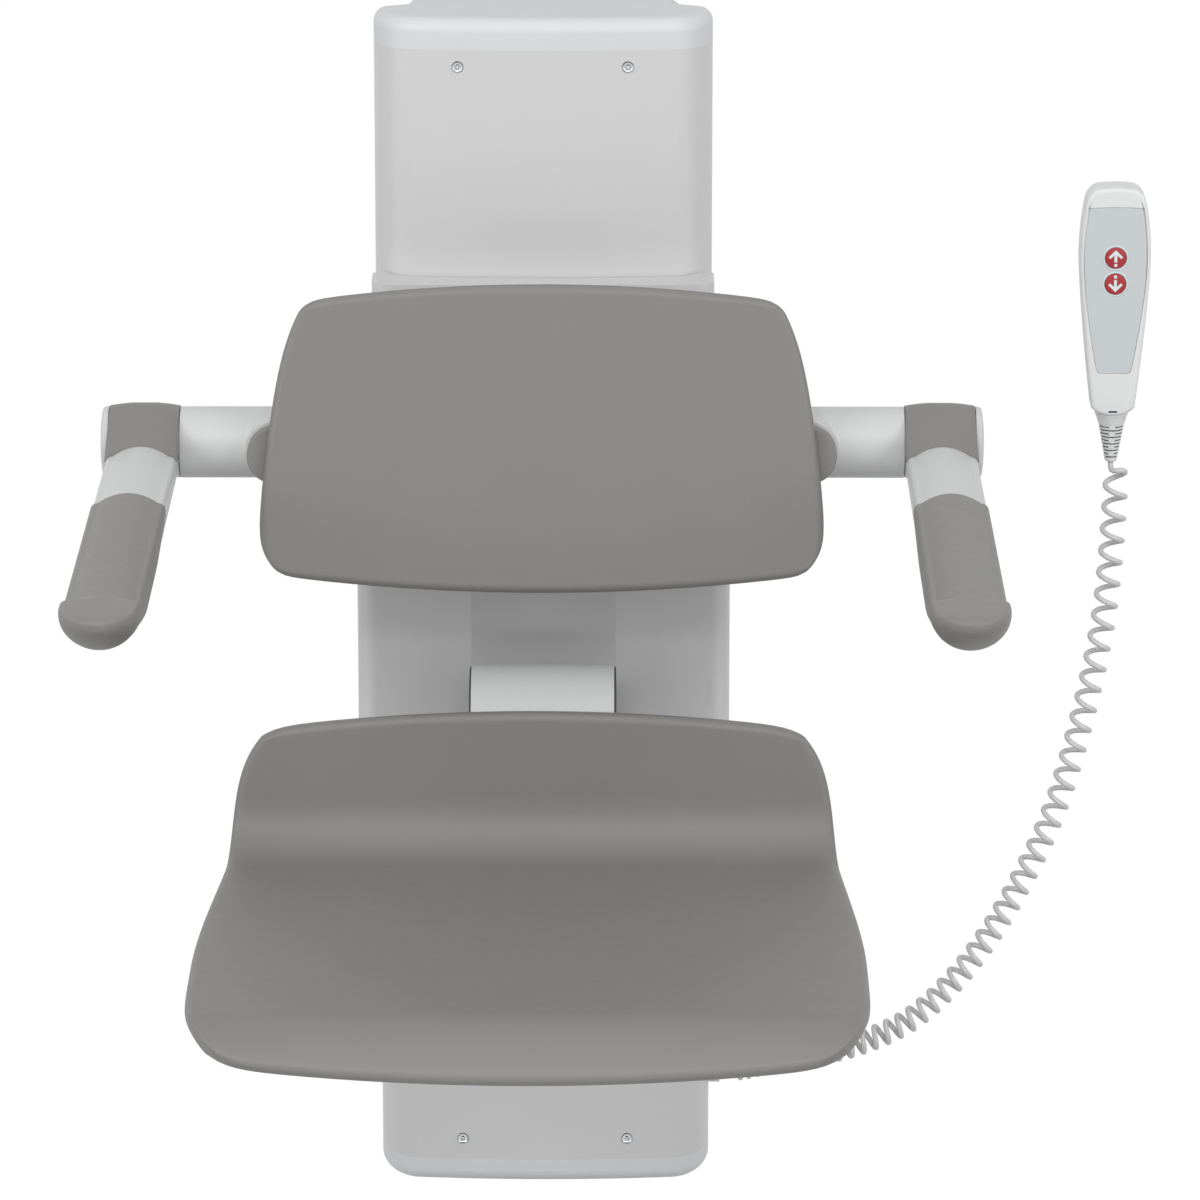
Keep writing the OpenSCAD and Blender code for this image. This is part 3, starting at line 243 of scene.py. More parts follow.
def even_shading(piece):
    """Lets the large faces of a piece set the shading at its edges."""
    piece.modifiers.new("Even shading", "WEIGHTED_NORMAL").keep_sharp = True
    return bake(piece)


def carve(piece, form, finish, sharp=35, crossing=False):
    """Cuts a form out of the piece. crossing is set where the form's own parts cross."""
    cutter = new_object("cutter", *form, finish)
    cut = piece.modifiers.new("Cut", "BOOLEAN")
    cut.object, cut.solver, cut.use_self = cutter, "EXACT", crossing
    bake(piece, sharp)
    bpy.data.objects.remove(cutter)


def middle_of(node):
    """Middle of a CAD node's box."""
    low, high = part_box(node)
    return [(a + b) / 2 for a, b in zip(low, high)]


def settle(piece, body, slot, *nodes):
    """The piece moves with a body and stands for these CAD nodes, which are hidden. The slot argument is not used."""
    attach(piece, body)
    if nodes:
        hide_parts(*nodes)
    return piece


def copy_of(node, name, finish, edge, segments=2, sharp=30):
    """A copy of a CAD node with joined facets, smooth shading and rounded edges."""
    work = bmesh.new()
    work.from_mesh(frame["nodes"][node].data)
    bmesh.ops.remove_doubles(work, verts=work.verts, dist=2e-6)
    bmesh.ops.dissolve_limit(work, angle_limit=math.radians(0.6), verts=work.verts, edges=work.edges)
    mesh = bpy.data.meshes.new(name)
    work.to_mesh(mesh)
    work.free()
    shade(mesh, sharp)
    mesh.materials.append(FINISHES[finish])
    piece = add_object(name, mesh)
    bevel = piece.modifiers.new("Soft edges", "BEVEL")
    bevel.width, bevel.segments = edge, segments
    bevel.limit_method, bevel.angle_limit = "ANGLE", math.radians(40)
    return even_shading(piece)


def lathe(profile, centre, axis, steps):
    """Points and faces of a profile of (radius, place) pairs turned about an axis."""
    turn = np.linspace(0, 2 * math.pi, steps, endpoint=False)
    rings = []
    for radius, place in profile:
        a, b, along = radius * np.cos(turn), radius * np.sin(turn), np.full(steps, place)
        order = {"x": (along, a, b), "y": (a, along, b), "z": (a, b, along)}[axis]
        rings.append(np.stack(order, axis=1) + np.asarray(centre))
    return closed_form(rings)


def merge(parts):
    """Joins (points, faces) pairs into one."""
    points, faces, start = [], [], 0
    for p, f in parts:
        points.append(np.asarray(p, float).reshape(-1, 3))
        faces += [tuple(i + start for i in face) for face in f]
        start += len(points[-1])
    return np.concatenate(points), faces


def quarter(steps):
    """Angles from 0 to 90 degrees in equal steps."""
    return [math.pi / 2 * k / steps for k in range(steps + 1)]


def rounding(r, top, steps, way=1):
    """Pairs of inset and place on an edge that is rounded up, or down, to its top."""
    return [(r * (1 - math.cos(a)), top - way * r + way * r * math.sin(a)) for a in quarter(steps)]


def offsets(radius, place, rows):
    """Pairs of radius and place, for rows that tell how far each lies from a first pair."""
    return [(radius + a, place + b) for a, b in rows]


def rod(radius, centre, axis, start, end, edge=0.0006, steps=64):
    """A round bar with softened ends."""
    turns = quarter(4)
    profile = [(radius - edge * (1 - math.sin(t)), start + edge * (1 - math.cos(t))) for t in turns]
    profile += [(radius - edge * (1 - math.cos(t)), end - edge * (1 - math.sin(t))) for t in turns]
    return lathe(profile, centre, axis, steps)


def smooth_rows(rows, count):
    """A table's rows joined by a smooth curve, at count places."""
    p = np.concatenate([[2 * rows[0] - rows[1]], rows, [2 * rows[-1] - rows[-2]]])
    t = np.linspace(0, len(rows) - 1, count)
    i = np.minimum(t.astype(int), len(rows) - 2)
    k = (t - i)[:, None]
    a, b, c, d = p[i], p[i + 1], p[i + 2], p[i + 3]
    return b + k / 2 * (c - a + k * (2 * a - 5 * b + 4 * c - d + k * (3 * b - 3 * c + d - a)))


def facing(outline, x, f, z=above_foot(0)):
    """An outline as a ring that faces the front, f in front of the wall, with its zero point at x and z."""
    return np.column_stack([x + outline[:, 0], np.full(len(outline), -f), z + outline[:, 1]])


# -------- node trees


def fill(tree, node, inputs):
    """Gives each of these inputs of a node a value or another node's output."""
    for key, value in inputs.items():
        if isinstance(value, bpy.types.NodeSocket):
            tree.links.new(value, node.inputs[key])
        else:
            node.inputs[key].default_value = value
    return node


def add_node(tree, kind, inputs, **settings):
    node = tree.nodes.new(kind)
    for name, value in settings.items():
        setattr(node, name, value)
    return fill(tree, node, inputs)


def start_tree(name, rows):
    """A tree with an input for each row of name, kind, description and perhaps default."""
    tree = bpy.data.node_groups.new(name, "GeometryNodeTree")
    for way in ("INPUT", "OUTPUT"):
        tree.interface.new_socket("Geometry", in_out=way, socket_type="NodeSocketGeometry")
    for label, kind, description, *default in rows:
        socket = tree.interface.new_socket(label, in_out="INPUT", socket_type=kind, description=description)
        if default:
            socket.default_value = default[0]
    return tree, tree.nodes.new("NodeGroupInput").outputs


def end_tree(tree, result, source):
    """Ends a tree with its instances made real and its material set."""
    real = add_node(tree, "GeometryNodeRealizeInstances", {"Geometry": result})
    parts = {"Geometry": real.outputs["Geometry"], "Material": source["Material"]}
    paint = add_node(tree, "GeometryNodeSetMaterial", parts)
    add_node(tree, "NodeGroupOutput", {"Geometry": paint.outputs["Geometry"]})
    return tree


def sweep_tree():
    """A round section swept along a path of edges."""
    tree, source = start_tree("Swept round section", (
        ("Thickness", "NodeSocketFloat", "Diameter of the section", 0.004),
        ("Sides", "NodeSocketInt", "Corners of the section", 12),
        ("Material", "NodeSocketMaterial", "Finish of the sweep"),
    ))
    path = add_node(tree, "GeometryNodeMeshToCurve", {"Mesh": source["Geometry"]})
    half = add_node(tree, "ShaderNodeMath", {0: source["Thickness"], 1: 0.5}, operation="MULTIPLY")
    sides = {"Resolution": source["Sides"], "Radius": half.outputs[0]}
    circle = add_node(tree, "GeometryNodeCurvePrimitiveCircle", sides)
    parts = {"Curve": path.outputs["Curve"], "Profile Curve": circle.outputs["Curve"], "Fill Caps": True}
    return end_tree(tree, add_node(tree, "GeometryNodeCurveToMesh", parts).outputs["Mesh"], source)


def repeat_tree():
    """One pattern piece on each point."""
    tree, source = start_tree("Repeated piece", (
        ("Pattern", "NodeSocketObject", "Piece that is repeated"),
        ("Scale", "NodeSocketFloat", "Size of every copy", 1.0),
        ("Material", "NodeSocketMaterial", "Finish of the copies"),
    ))
    pattern = add_node(tree, "GeometryNodeObjectInfo", {"Object": source["Pattern"]})
    parts = {"Points": source["Geometry"], "Instance": pattern.outputs["Geometry"], "Scale": source["Scale"]}
    return end_tree(tree, add_node(tree, "GeometryNodeInstanceOnPoints", parts).outputs["Instances"], source)


def run_tree(piece, tree, values, sharp):
    """Runs a tree on a piece with named inputs, and keeps the plain mesh."""
    modifier = piece.modifiers.new(tree.name, "NODES")
    modifier.node_group = tree
    for item in tree.interface.items_tree:
        if item.in_out == "INPUT" and item.name in values:
            modifier[item.identifier] = values[item.name]
    return bake(piece, sharp)


def repeat(name, places, pattern, finish, sharp=35.0):
    """Copies of a pattern at places, as one piece. The pattern is then removed."""
    mesh = bpy.data.meshes.new(name)
    mesh.from_pydata([tuple(p) for p in places], [], [])
    piece = add_object(name, mesh)
    run_tree(piece, repeat_tree(), {"Pattern": pattern, "Scale": 1.0, "Material": FINISHES[finish]}, sharp)
    bpy.data.objects.remove(pattern)
    return piece


# -------- finishes


def noise(tree, place, scale, detail, stretch=None):
    if stretch:
        place = add_node(tree, "ShaderNodeMapping", {"Vector": place, "Scale": stretch}).outputs["Vector"]
    parts = {"Vector": place, "Scale": scale, "Detail": detail}
    return add_node(tree, "ShaderNodeTexNoise", parts).outputs["Fac"]


def finish(name, base, roughness, tint=None, gloss=None, bump=None, stretch=None, metallic=0.0, ior=1.5):
    """A finish that a noise varies: its colour by tint (scale, detail, spread), its roughness by gloss
    (scale, low, high) and its surface by bump (scale, detail, distance, strength). Without a detail, the
    bump is made of round cells."""
    material = bpy.data.materials.new(name)
    material.use_nodes = True
    tree = material.node_tree
    shader = tree.nodes["Principled BSDF"]
    place = tree.nodes.new("ShaderNodeTexCoord").outputs["Object"]
    values = {"Base Color": (*base, 1), "Roughness": roughness, "Metallic": metallic, "IOR": ior}
    if tint:
        scale, detail, spread = tint
        ends = [(*[min(1.0, c * (1 + way * spread)) for c in base], 1) for way in (-1, 1)]
        parts = {"Factor": noise(tree, place, scale, detail, stretch), "A": ends[0], "B": ends[1]}
        values["Base Color"] = add_node(tree, "ShaderNodeMix", parts, data_type="RGBA").outputs["Result"]
    if gloss:
        scale, low, high = gloss
        parts = {"Value": noise(tree, place, scale, 3, stretch), "To Min": low, "To Max": high}
        values["Roughness"] = add_node(tree, "ShaderNodeMapRange", parts).outputs["Result"]
    if bump:
        scale, detail, distance, strength = bump
        if detail is None:
            cells = {"Vector": place, "Scale": scale}
            height = add_node(tree, "ShaderNodeTexVoronoi", cells, feature="SMOOTH_F1").outputs["Distance"]
        else:
            height = noise(tree, place, scale, detail, stretch)
        parts = {"Height": height, "Distance": distance, "Strength": strength}
        values["Normal"] = add_node(tree, "ShaderNodeBump", parts).outputs["Normal"]
    fill(tree, shader, values)
    return material


def moulded(name, base, roughness=0.5, grain=0.00005, scale=1400):
    """Moulded plastic with a fine spark-eroded grain."""
    gloss = (90, roughness - 0.05, roughness + 0.05)
    return finish(name, base, roughness, (14, 3, 0.015), gloss, (scale, 2, grain, 0.6))


def anodised_metal(name, base, along, metallic=0.2):
    """Satin anodised metal with fine lines along one axis."""
    stretch = {"x": (12, 900, 900), "y": (900, 12, 900), "z": (900, 900, 12)}[along]
    return finish(name, base, 0.42, (1, 3, 0.02), (1, 0.40, 0.48), (1, 3, 0.00002, 0.5), stretch, metallic)


def bright_steel(name, base):
    return finish(name, base, 0.28, None, (300, 0.26, 0.34), (900, 2, 0.000004, 0.3), metallic=0.9)


def printed_film(name, base):
    """Film on the handset's front: smooth, with the faintest texture."""
    return finish(name, base, 0.36, (60, 3, 0.01), None, (3000, 2, 0.00002, 0.5))


FINISHES = {}


def make_finishes(colours):
    """Makes every finish: an orange-peel coat, a leathery skin, a smooth sheath, plastics and metals."""
    coat = (9, 3, 0.012), (60, 0.36, 0.44), (700, 2, 0.00006, 0.5)
    skin = (22, 4, 0.03), (120, 0.46, 0.58), (900, None, 0.00012, 0.45)
    sheath = (35, 3, 0.008), (400, 0.38, 0.46), (2600, 2, 0.00001, 0.3)
    FINISHES.update(
        coat=finish("Column coat", colours.coat, 0.40, *coat, ior=1.6),
        cap=moulded("Cap plastic", colours.cap),
        tube=anodised_metal("Anodised across", colours.tube, "x", 0.0),
        # A lighter copy of the tube's metal: painted light for the barrel in the backrest's shade
        barrel=anodised_metal("Anodised barrel lightened", colours.barrel, "x", 0.0),
        bar=anodised_metal("Anodised forward", colours.anodised, "y"),
        rail=anodised_metal("Anodised upright", colours.anodised, "z"),
        shell=finish("Seat skin", colours.shell, 0.52, *skin),
        housing=moulded("Handset plastic", colours.housing, 0.46, 0.00003, 2200),
        foil=printed_film("Handset film", colours.foil),
        button=printed_film("Button film", colours.button),
        mark=printed_film("Arrow ink", colours.mark),
        ring=printed_film("Ring film", colours.ring),
        # Painted shade for the floors of the strain relief's slits
        shadow=moulded("Relief slit painted shade", colours.shadow, 0.6),
        cord=finish("Cord sheath", colours.cord, 0.42, *sheath),
        steel=bright_steel("Plated steel", colours.steel),
        screw=bright_steel("Screw steel", colours.screw),
        dark=moulded("Dark housing", colours.dark, 0.55),
        bearing=moulded("Bearing plastic", colours.bearing, 0.4),
    )


# -------- stage


def aim(item, direction):
    item.rotation_mode = "QUATERNION"
    item.rotation_quaternion = direction.to_track_quat("-Z", "Y")


def add_lamp(name, place, size, power, target=(0.0, -0.25, 0.0), spread=180):
    data = bpy.data.lights.new(name, "AREA")
    data.shape, data.energy, data.spread = "RECTANGLE", power, math.radians(spread)
    data.size, data.size_y = size
    lamp = add_object(name, data)
    lamp.location = place
    aim(lamp, Vector(target) - lamp.location)
    lamp.visible_camera = False


def white_to_camera(tree, lit, white):
    """Where the camera, a gloss or a clear surface looks, the white shader shows instead of the lit one."""
    rays = tree.nodes.new("ShaderNodeLightPath").outputs
    seen = rays["Is Camera Ray"]
    for more in (rays["Is Glossy Ray"], rays["Is Transmission Ray"]):
        seen = add_node(tree, "ShaderNodeMath", {0: seen, 1: more}, operation="MAXIMUM").outputs[0]
    return add_node(tree, "ShaderNodeMixShader", {"Fac": seen, 1: lit, 2: white}).outputs["Shader"]


class SHOWERSEAT_OT_stage(bpy.types.Operator):
    """Makes the camera, the studio lamps, the white surroundings and the pale floor"""

    bl_idname = "shower_seat.stage"
    bl_label = "Stage"

    def execute(self, context):
        scene = context.scene
        scene.view_settings.view_transform = "Standard"
        data = bpy.data.cameras.new("Camera")
        data.lens, data.sensor_width, data.clip_end = 216.4, 36.0, 60.0
        camera = scene.camera = add_object("Camera", data)
        camera.location = (0.05237, -5.05687, 1.39269)
        yaw, pitch = -0.002433, 0.270839
        aim(camera, Vector((math.sin(yaw) * math.cos(pitch), math.cos(yaw) * math.cos(pitch), -math.sin(pitch))))

        add_lamp("Key", (-0.1, -3.4, 2.6), (2.6, 1.6), 52)
        add_lamp("Left box", (-2.6, -2.4, 1.4), (1.6, 1.8), 32)
        add_lamp("Right box", (2.6, -2.4, 1.4), (1.6, 1.8), 30)
        add_lamp("Overhead", (0.0, -0.6, 3.2), (2.6, 2.6), 7)
        add_lamp("Low fill", (0.0, -2.6, -0.40), (1.2, 0.2), 0.22, (0.0, -0.08, -0.40), 24)
        add_lamp("Left strip", (-3.0, -0.9, 0.2), (0.3, 3.0), 10)
        add_lamp("Right strip", (3.0, -0.9, 0.2), (0.3, 3.0), 8)

        world = scene.world = bpy.data.worlds.new("Surroundings")
        world.use_nodes = True
        tree = world.node_tree
        tree.nodes.clear()
        lit, white = (
            add_node(tree, "ShaderNodeBackground", {"Color": (1, 1, 1, 1), "Strength": strength}).outputs[0]
            for strength in (0.4, 1.0)
        )
        add_node(tree, "ShaderNodeOutputWorld", {"Surface": white_to_camera(tree, lit, white)})

        z = above_foot(-FLOOR_DROP)
        FINISHES["floor"] = self.floor_finish()
        corners = [(-6, -6, z), (6, -6, z), (6, 9, z), (-6, 9, z)]
        floor = new_object("floor", corners, [(0, 1, 2, 3)], "floor", outwards=False)
        return {"FINISHED"}

    def floor_finish(self):
        """A pale floor that light falls on, and that the camera sees faded to white."""
        material = finish("Pale floor", (0.45, 0.45, 0.45), 0.8, (3, 3, 0.01))
        tree = material.node_tree
        shader = tree.nodes["Principled BSDF"].outputs["BSDF"]
        glow = add_node(tree, "ShaderNodeEmission", {"Strength": 1.09}).outputs["Emission"]
        faded = add_node(tree, "ShaderNodeMixShader", {"Fac": 0.90, 1: shader, 2: glow}).outputs["Shader"]
        fill(tree, tree.nodes["Material Output"], {"Surface": white_to_camera(tree, shader, faded)})
        return material


# -------- curly cord

# Middle line of the curls from the handset to the gland: the solid's route, raised on its last stretch
CORD_ROUTE = [
    (0.408, -0.021, 0.0985), (0.408, -0.021, 0.095), (0.4115, -0.021, 0.088), (0.4115, -0.021, 0.072),
    (0.409, -0.021, 0.024), (0.404, -0.022, -0.025), (0.392, -0.022, -0.089), (0.372, -0.023, -0.163),
    (0.3435, -0.025, -0.227), (0.310, -0.027, -0.281), (0.272, -0.030, -0.320), (0.230, -0.033, -0.3405),
    (0.190, -0.036, -0.3485), (0.160, -0.038, -0.354), (0.134, -0.038, -0.360),
]

# Pitch at both ends of the route, degrees at which the first curl starts, corners of a curl, and the
# step that the route's slope is measured over
CURL_PITCH = (0.0167, 0.0062)
CURL_START, CURL_STEPS, SLOPE_STEP = -214, 18, 0.0008


def cord_path(sizes):
    """The cord's own middle line: curls whose pitch opens towards the handset."""
    line = smooth_rows(np.array(CORD_ROUTE), 1300)
    run = np.concatenate([[0], np.cumsum(np.linalg.norm(np.diff(line, axis=0), axis=1))])
    whole = run[-1]

    def at(place):
        return np.stack([np.interp(place, run, line[:, i]) for i in range(3)], axis=1)

    phase = np.linspace(0, 1, sizes.curls * CURL_STEPS + 1)
    loss = math.sqrt(1 - CURL_PITCH[1] / CURL_PITCH[0])
    s = sizes.cord_d + (whole - 2 * sizes.cord_d) * np.tanh(math.atanh(loss) * phase) / loss
    along = at(s + SLOPE_STEP) - at(s - SLOPE_STEP)
    along /= np.linalg.norm(along, axis=1)[:, None]
    side = np.cross(along, (0, 1, 0))
    side /= np.linalg.norm(side, axis=1)[:, None]
    up = np.cross(along, side)
    start = (np.minimum(s, whole - s) - sizes.cord_d) / (1.2 * sizes.cord_d)
    radius = (sizes.curl_d - sizes.cord_d) / 2 * smooth_step(start)
    angle = math.radians(CURL_START) - 2 * math.pi * sizes.curls * phase
    curls = at(s) + radius[:, None] * (np.cos(angle)[:, None] * side + np.sin(angle)[:, None] * up)
    return np.concatenate([[CORD_ROUTE[0]], curls, [CORD_ROUTE[-1]]])


class SHOWERSEAT_OT_cord(bpy.types.Operator):
    """Winds the curly cord from the handset's strain relief to the gland on the column"""

    bl_idname = "shower_seat.cord"
    bl_label = "Curly cord"

    def execute(self, context):
        sizes = context.scene.shower_seat_sizes
        path = cord_path(sizes)
        mesh = bpy.data.meshes.new("cord")
        mesh.from_pydata(path.tolist(), [(i, i + 1) for i in range(len(path) - 1)], [])
        cord = add_object("cord", mesh)
        values = {"Thickness": sizes.cord_d, "Sides": 12, "Material": FINISHES["cord"]}
        run_tree(cord, sweep_tree(), values, 60)
        if not len(cord.data.polygons):
            raise RuntimeError("the cord's sweep came out empty")
        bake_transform(cord)
        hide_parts("curly_cord")
        return {"FINISHED"}


# -------- column


def column_outline(sizes, inset, steps=24):
    """Outline open to the wall, with oval front corners and a bulged front, from left to right."""
    w, d, crown = sizes.column_w / 2, sizes.column_d, sizes.column_crown
    xc, dc = w - sizes.corner_w, d - crown - sizes.corner_d
    rx, rd = sizes.corner_w - inset, sizes.corner_d - inset
    turn = np.linspace(0, math.pi / 2, steps + 1)
    left = np.stack([-xc - rx * np.cos(turn), -dc - rd * np.sin(turn)], axis=1)
    x = xc * (2 * np.arange(1, 2 * steps) / (2 * steps) - 1)
    front = np.stack([x, inset + crown - d - crown * (1 - (x / xc) ** 2)], axis=1)
    ends = [(inset - w, -COVER_REAR_F)], [(w - inset, -COVER_REAR_F)]
    return np.concatenate([ends[0], left, front, left[::-1] * (-1, 1), ends[1]])


def flat_ring(outline, height):
    """An outline as a level ring."""
    return np.column_stack([outline, np.full(len(outline), height)])


def open_shell(outer, inner, heights):
    """A sheet between two open outlines, standing through these heights."""
    loop = np.concatenate([outer, inner[::-1]])
    n, rows = len(loop), len(heights)
    faces = ring_faces(n, rows)
    for first in (0, (rows - 1) * n):
        faces += [(first + i, first + i + 1, first + n - 2 - i, first + n - 1 - i) for i in range(n // 2 - 1)]
    return np.concatenate([flat_ring(loop, h) for h in heights]), faces


class SHOWERSEAT_OT_column(bpy.types.Operator):
    """Builds the column's cover, its two caps and the recessed screws"""

    bl_idname = "shower_seat.column"
    bl_label = "Column"

    def execute(self, context):
        sizes = context.scene.shower_seat_sizes
        low, high = above_foot(sizes.cap_bottom), above_foot(COLUMN_H - sizes.cap_top)
        outer, inner = column_outline(sizes, 0), column_outline(sizes, COVER_T)
        cover = new_object("cover", *open_shell(outer, inner, np.linspace(low, high, 42)), "coat")
        places = [(x, 0, above_foot(h)) for x in (-SCREW_X, SCREW_X) for h in (SCREW_UP, COLUMN_H - SCREW_UP)]
        front = sizes.column_d - sizes.column_crown * (SCREW_X / (sizes.column_w / 2 - sizes.corner_w)) ** 2

        # A hole is cut by rods of radius, depth, start in front of the cover, and sides
        recess = (0.0040, 0.0012, 0.002, 40), (0.00225, 0.006, 0.001, 32), (0.0046, 0.0003, 0.002, 40)
        holes = [
            rod(r, place, "y", deep - front, -front - proud, 0.0, sides)
            for place in places
            for r, deep, proud, sides in recess
        ]
        carve(cover, merge(holes), "coat", crossing=True)
        settle(cover, "column", "column_grey", "column_cover")

        self.cap(sizes, "cap_upper", high, sizes.cap_top, 1, "top_cap")
        self.cap(sizes, "cap_lower", low, sizes.cap_bottom, -1, "bottom_cap")

        screws = repeat("cover_screw_heads", places, self.screw_head(front), "screw")
        settle(screws, "column", "screw_steel", "cover_screws")
        # Security pins in the sockets, given the pale cap finish so that each screw shows a painted highlight at its
        # centre
        glint_pin = new_object("pin_pattern", *rod(0.0011, (0, 0, 0), "y", 0.0030 - front, 0.0001 - front, 0.0003, 24), "cap")
        settle(repeat("cover_screw_pins", places, glint_pin, "cap"), "column", "screw_steel")
        return {"FINISHED"}

    def cap(self, sizes, name, base, height, way, node):
        """A cap whose outer edge is rounded, except along the wall."""
        r = sizes.cap_round
        levels = [(0.0, 0.0), (0.0, (height - r) / 2)]
        levels += rounding(r, height, 10)
        rings = []
        for inset, up in levels:
            side = CAP_REAR_X - inset
            rear = [(-side, 0.0), (-side, -CAP_REAR_F)], [(side, -CAP_REAR_F), (side, 0.0)]
            outline = np.concatenate([rear[0], column_outline(sizes, inset), rear[1]])
            rings.append(flat_ring(outline, base + way * up))
        settle(even_shading(new_object(name, *closed_form(rings), "cap")), "column", "cap_grey", node)

    def screw_head(self, front):
        """A round head with a six-sided socket, at X 0 and Z 0."""
        face = -front + 0.0002
        piece = new_object("screw_pattern", *rod(0.00375, (0, 0, 0), "y", face + 0.014, face, 0.0010, 40), "screw")
        carve(piece, rod(0.0021, (0, 0, 0), "y", face + 0.0022, face - 0.001, 0.0, 6), "screw")
        return piece


# -------- carriage, tube and barrel


def end_pair(name, dome, centre, ends, finish):
    """The same turned form at both ends of a bar along X, as one piece."""
    parts = [lathe([(r, end + way * x) for r, x in dome], centre, "x", ROUND_STEPS) for way, end in ends]
    return new_object(name, *merge(parts), finish, 50)


class SHOWERSEAT_OT_carriage(bpy.types.Operator):
    """Finishes the carriage's cover, the cradle, the saddle and the seat hinge's barrel"""

    bl_idname = "shower_seat.carriage"
    bl_label = "Carriage"

    def execute(self, context):
        for node, body, slot, *look in (
            ("carriage_cover", "carriage", "column_grey", "carriage_shell", "coat", 0.0012, 3, 28),
            ("tube_saddle", "carriage", "anodised", "saddle_plate", "tube", 0.0006),
            ("backrest_carrier", "carriage", "soft_grey", "carrier_bar", "shell", 0.0010),
            ("tube_cradle", "carriage", "inner_steel", "cradle_block", "tube", 0.0015, 3),
            ("hinge_shroud", "seat", "anodised", "hinge_barrel", "barrel", 0.0010, 3),
        ):
            settle(copy_of(node, *look), body, slot, node)
        low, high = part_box("hinge_shroud")
        centre, r = (0, *middle_of("hinge_shroud")[1:]), (high[2] - low[2]) / 2 - 0.0012
        # Dark domed caps on both ends of the barrel: painted shade, the dark of the gap between the barrel's ends and
        # the carriage's recess
        dome = offsets(r, 0, ((0, -0.001), (0, 0.0004), (-0.0004, 0.0009), (-0.002, 0.0013)))
        dome += [(0.6 * r, 0.0016), (0.1 * r, 0.0017)]
        caps = end_pair("barrel_end_caps", dome, centre, ((-1, low[0]), (1, high[0])), "dark")
        settle(caps, "seat", "inner_steel")
        return {"FINISHED"}


class SHOWERSEAT_OT_tube(bpy.types.Operator):
    """Turns the cross tube and the two domed end discs"""

    bl_idname = "shower_seat.tube"
    bl_label = "Cross tube"

    def execute(self, context):
        r = context.scene.shower_seat_sizes.tube_d / 2
        low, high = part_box("cross_tube")
        centre = (0, *middle_of("cross_tube")[1:])
        tube = new_object("satin_tube", *rod(r, centre, "x", low[0], high[0], 0.0005, 128), "tube")
        settle(tube, "carriage", "anodised", "cross_tube")
        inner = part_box("arm_end_discs")[1][0] - 0.006
        dome = offsets(r, inner, ((0, 0), (0, 0.0024), (-0.0004, 0.0034)))
        dome += [(r * math.cos(a), inner + 0.0034 + 0.0026 * math.sin(a)) for a in np.linspace(0.35, 1.5, 9)]
        discs = end_pair("domed_discs", dome, centre, ((1, 0), (-1, 0)), "tube")
        settle(discs, "carriage", "anodised", "arm_end_discs")
        return {"FINISHED"}


# -------- moulded seat and backrest


def rounded_places(whole, radius, steps, inner):
    """Places from 0 to whole, dense where both ends are rounded."""
    turn = np.linspace(0, math.pi / 2, steps + 1)
    start = radius * (1 - np.cos(turn))
    middle = np.linspace(radius, whole - radius, inner + 2)[1:-1]
    return np.concatenate([start, middle, (whole - start)[::-1]])


def moulded_sheet(name, point, wide, whole, thick, rows):
    """A sheet with round edges. point gives the place for a share across, a share along and a side."""
    across = rounded_places(wide, thick / 2, 9, 68) / (wide / 2) - 1
    along = rounded_places(whole, thick / 2, 7, rows) / whole
    rings = [np.concatenate([point(across, v, -1), point(across[1:-1][::-1], v, 1)]) for v in along]
    n, m = len(rings[0]), len(rings)
    faces = ring_faces(n, m) + strip_end(n, 0) + strip_end(n, (m - 1) * n)
    return new_object(name, np.concatenate(rings), faces, "shell", 60)


def rounded_thickness(thick, side, half, u, v, whole):
    """Distance of one face from the middle plane, which falls to 0 round the edges."""
    edge = np.minimum(half * (1 - np.abs(u)), min(v, 1 - v) * whole + 0.0003)
    return side * thick / 2 * edge_round(edge, thick / 2)


def bowed_place(u, v, whole, rear, front):
    """Place along a sheet. Each end has a bow, and a corner cut with the power that it grows by."""
    start = rear[0] * u * u + rear[1] * np.abs(u) ** rear[2]
    end = whole - front[0] * u * u - front[1] * np.abs(u) ** front[2]
    return start * (1 - v) + end * v


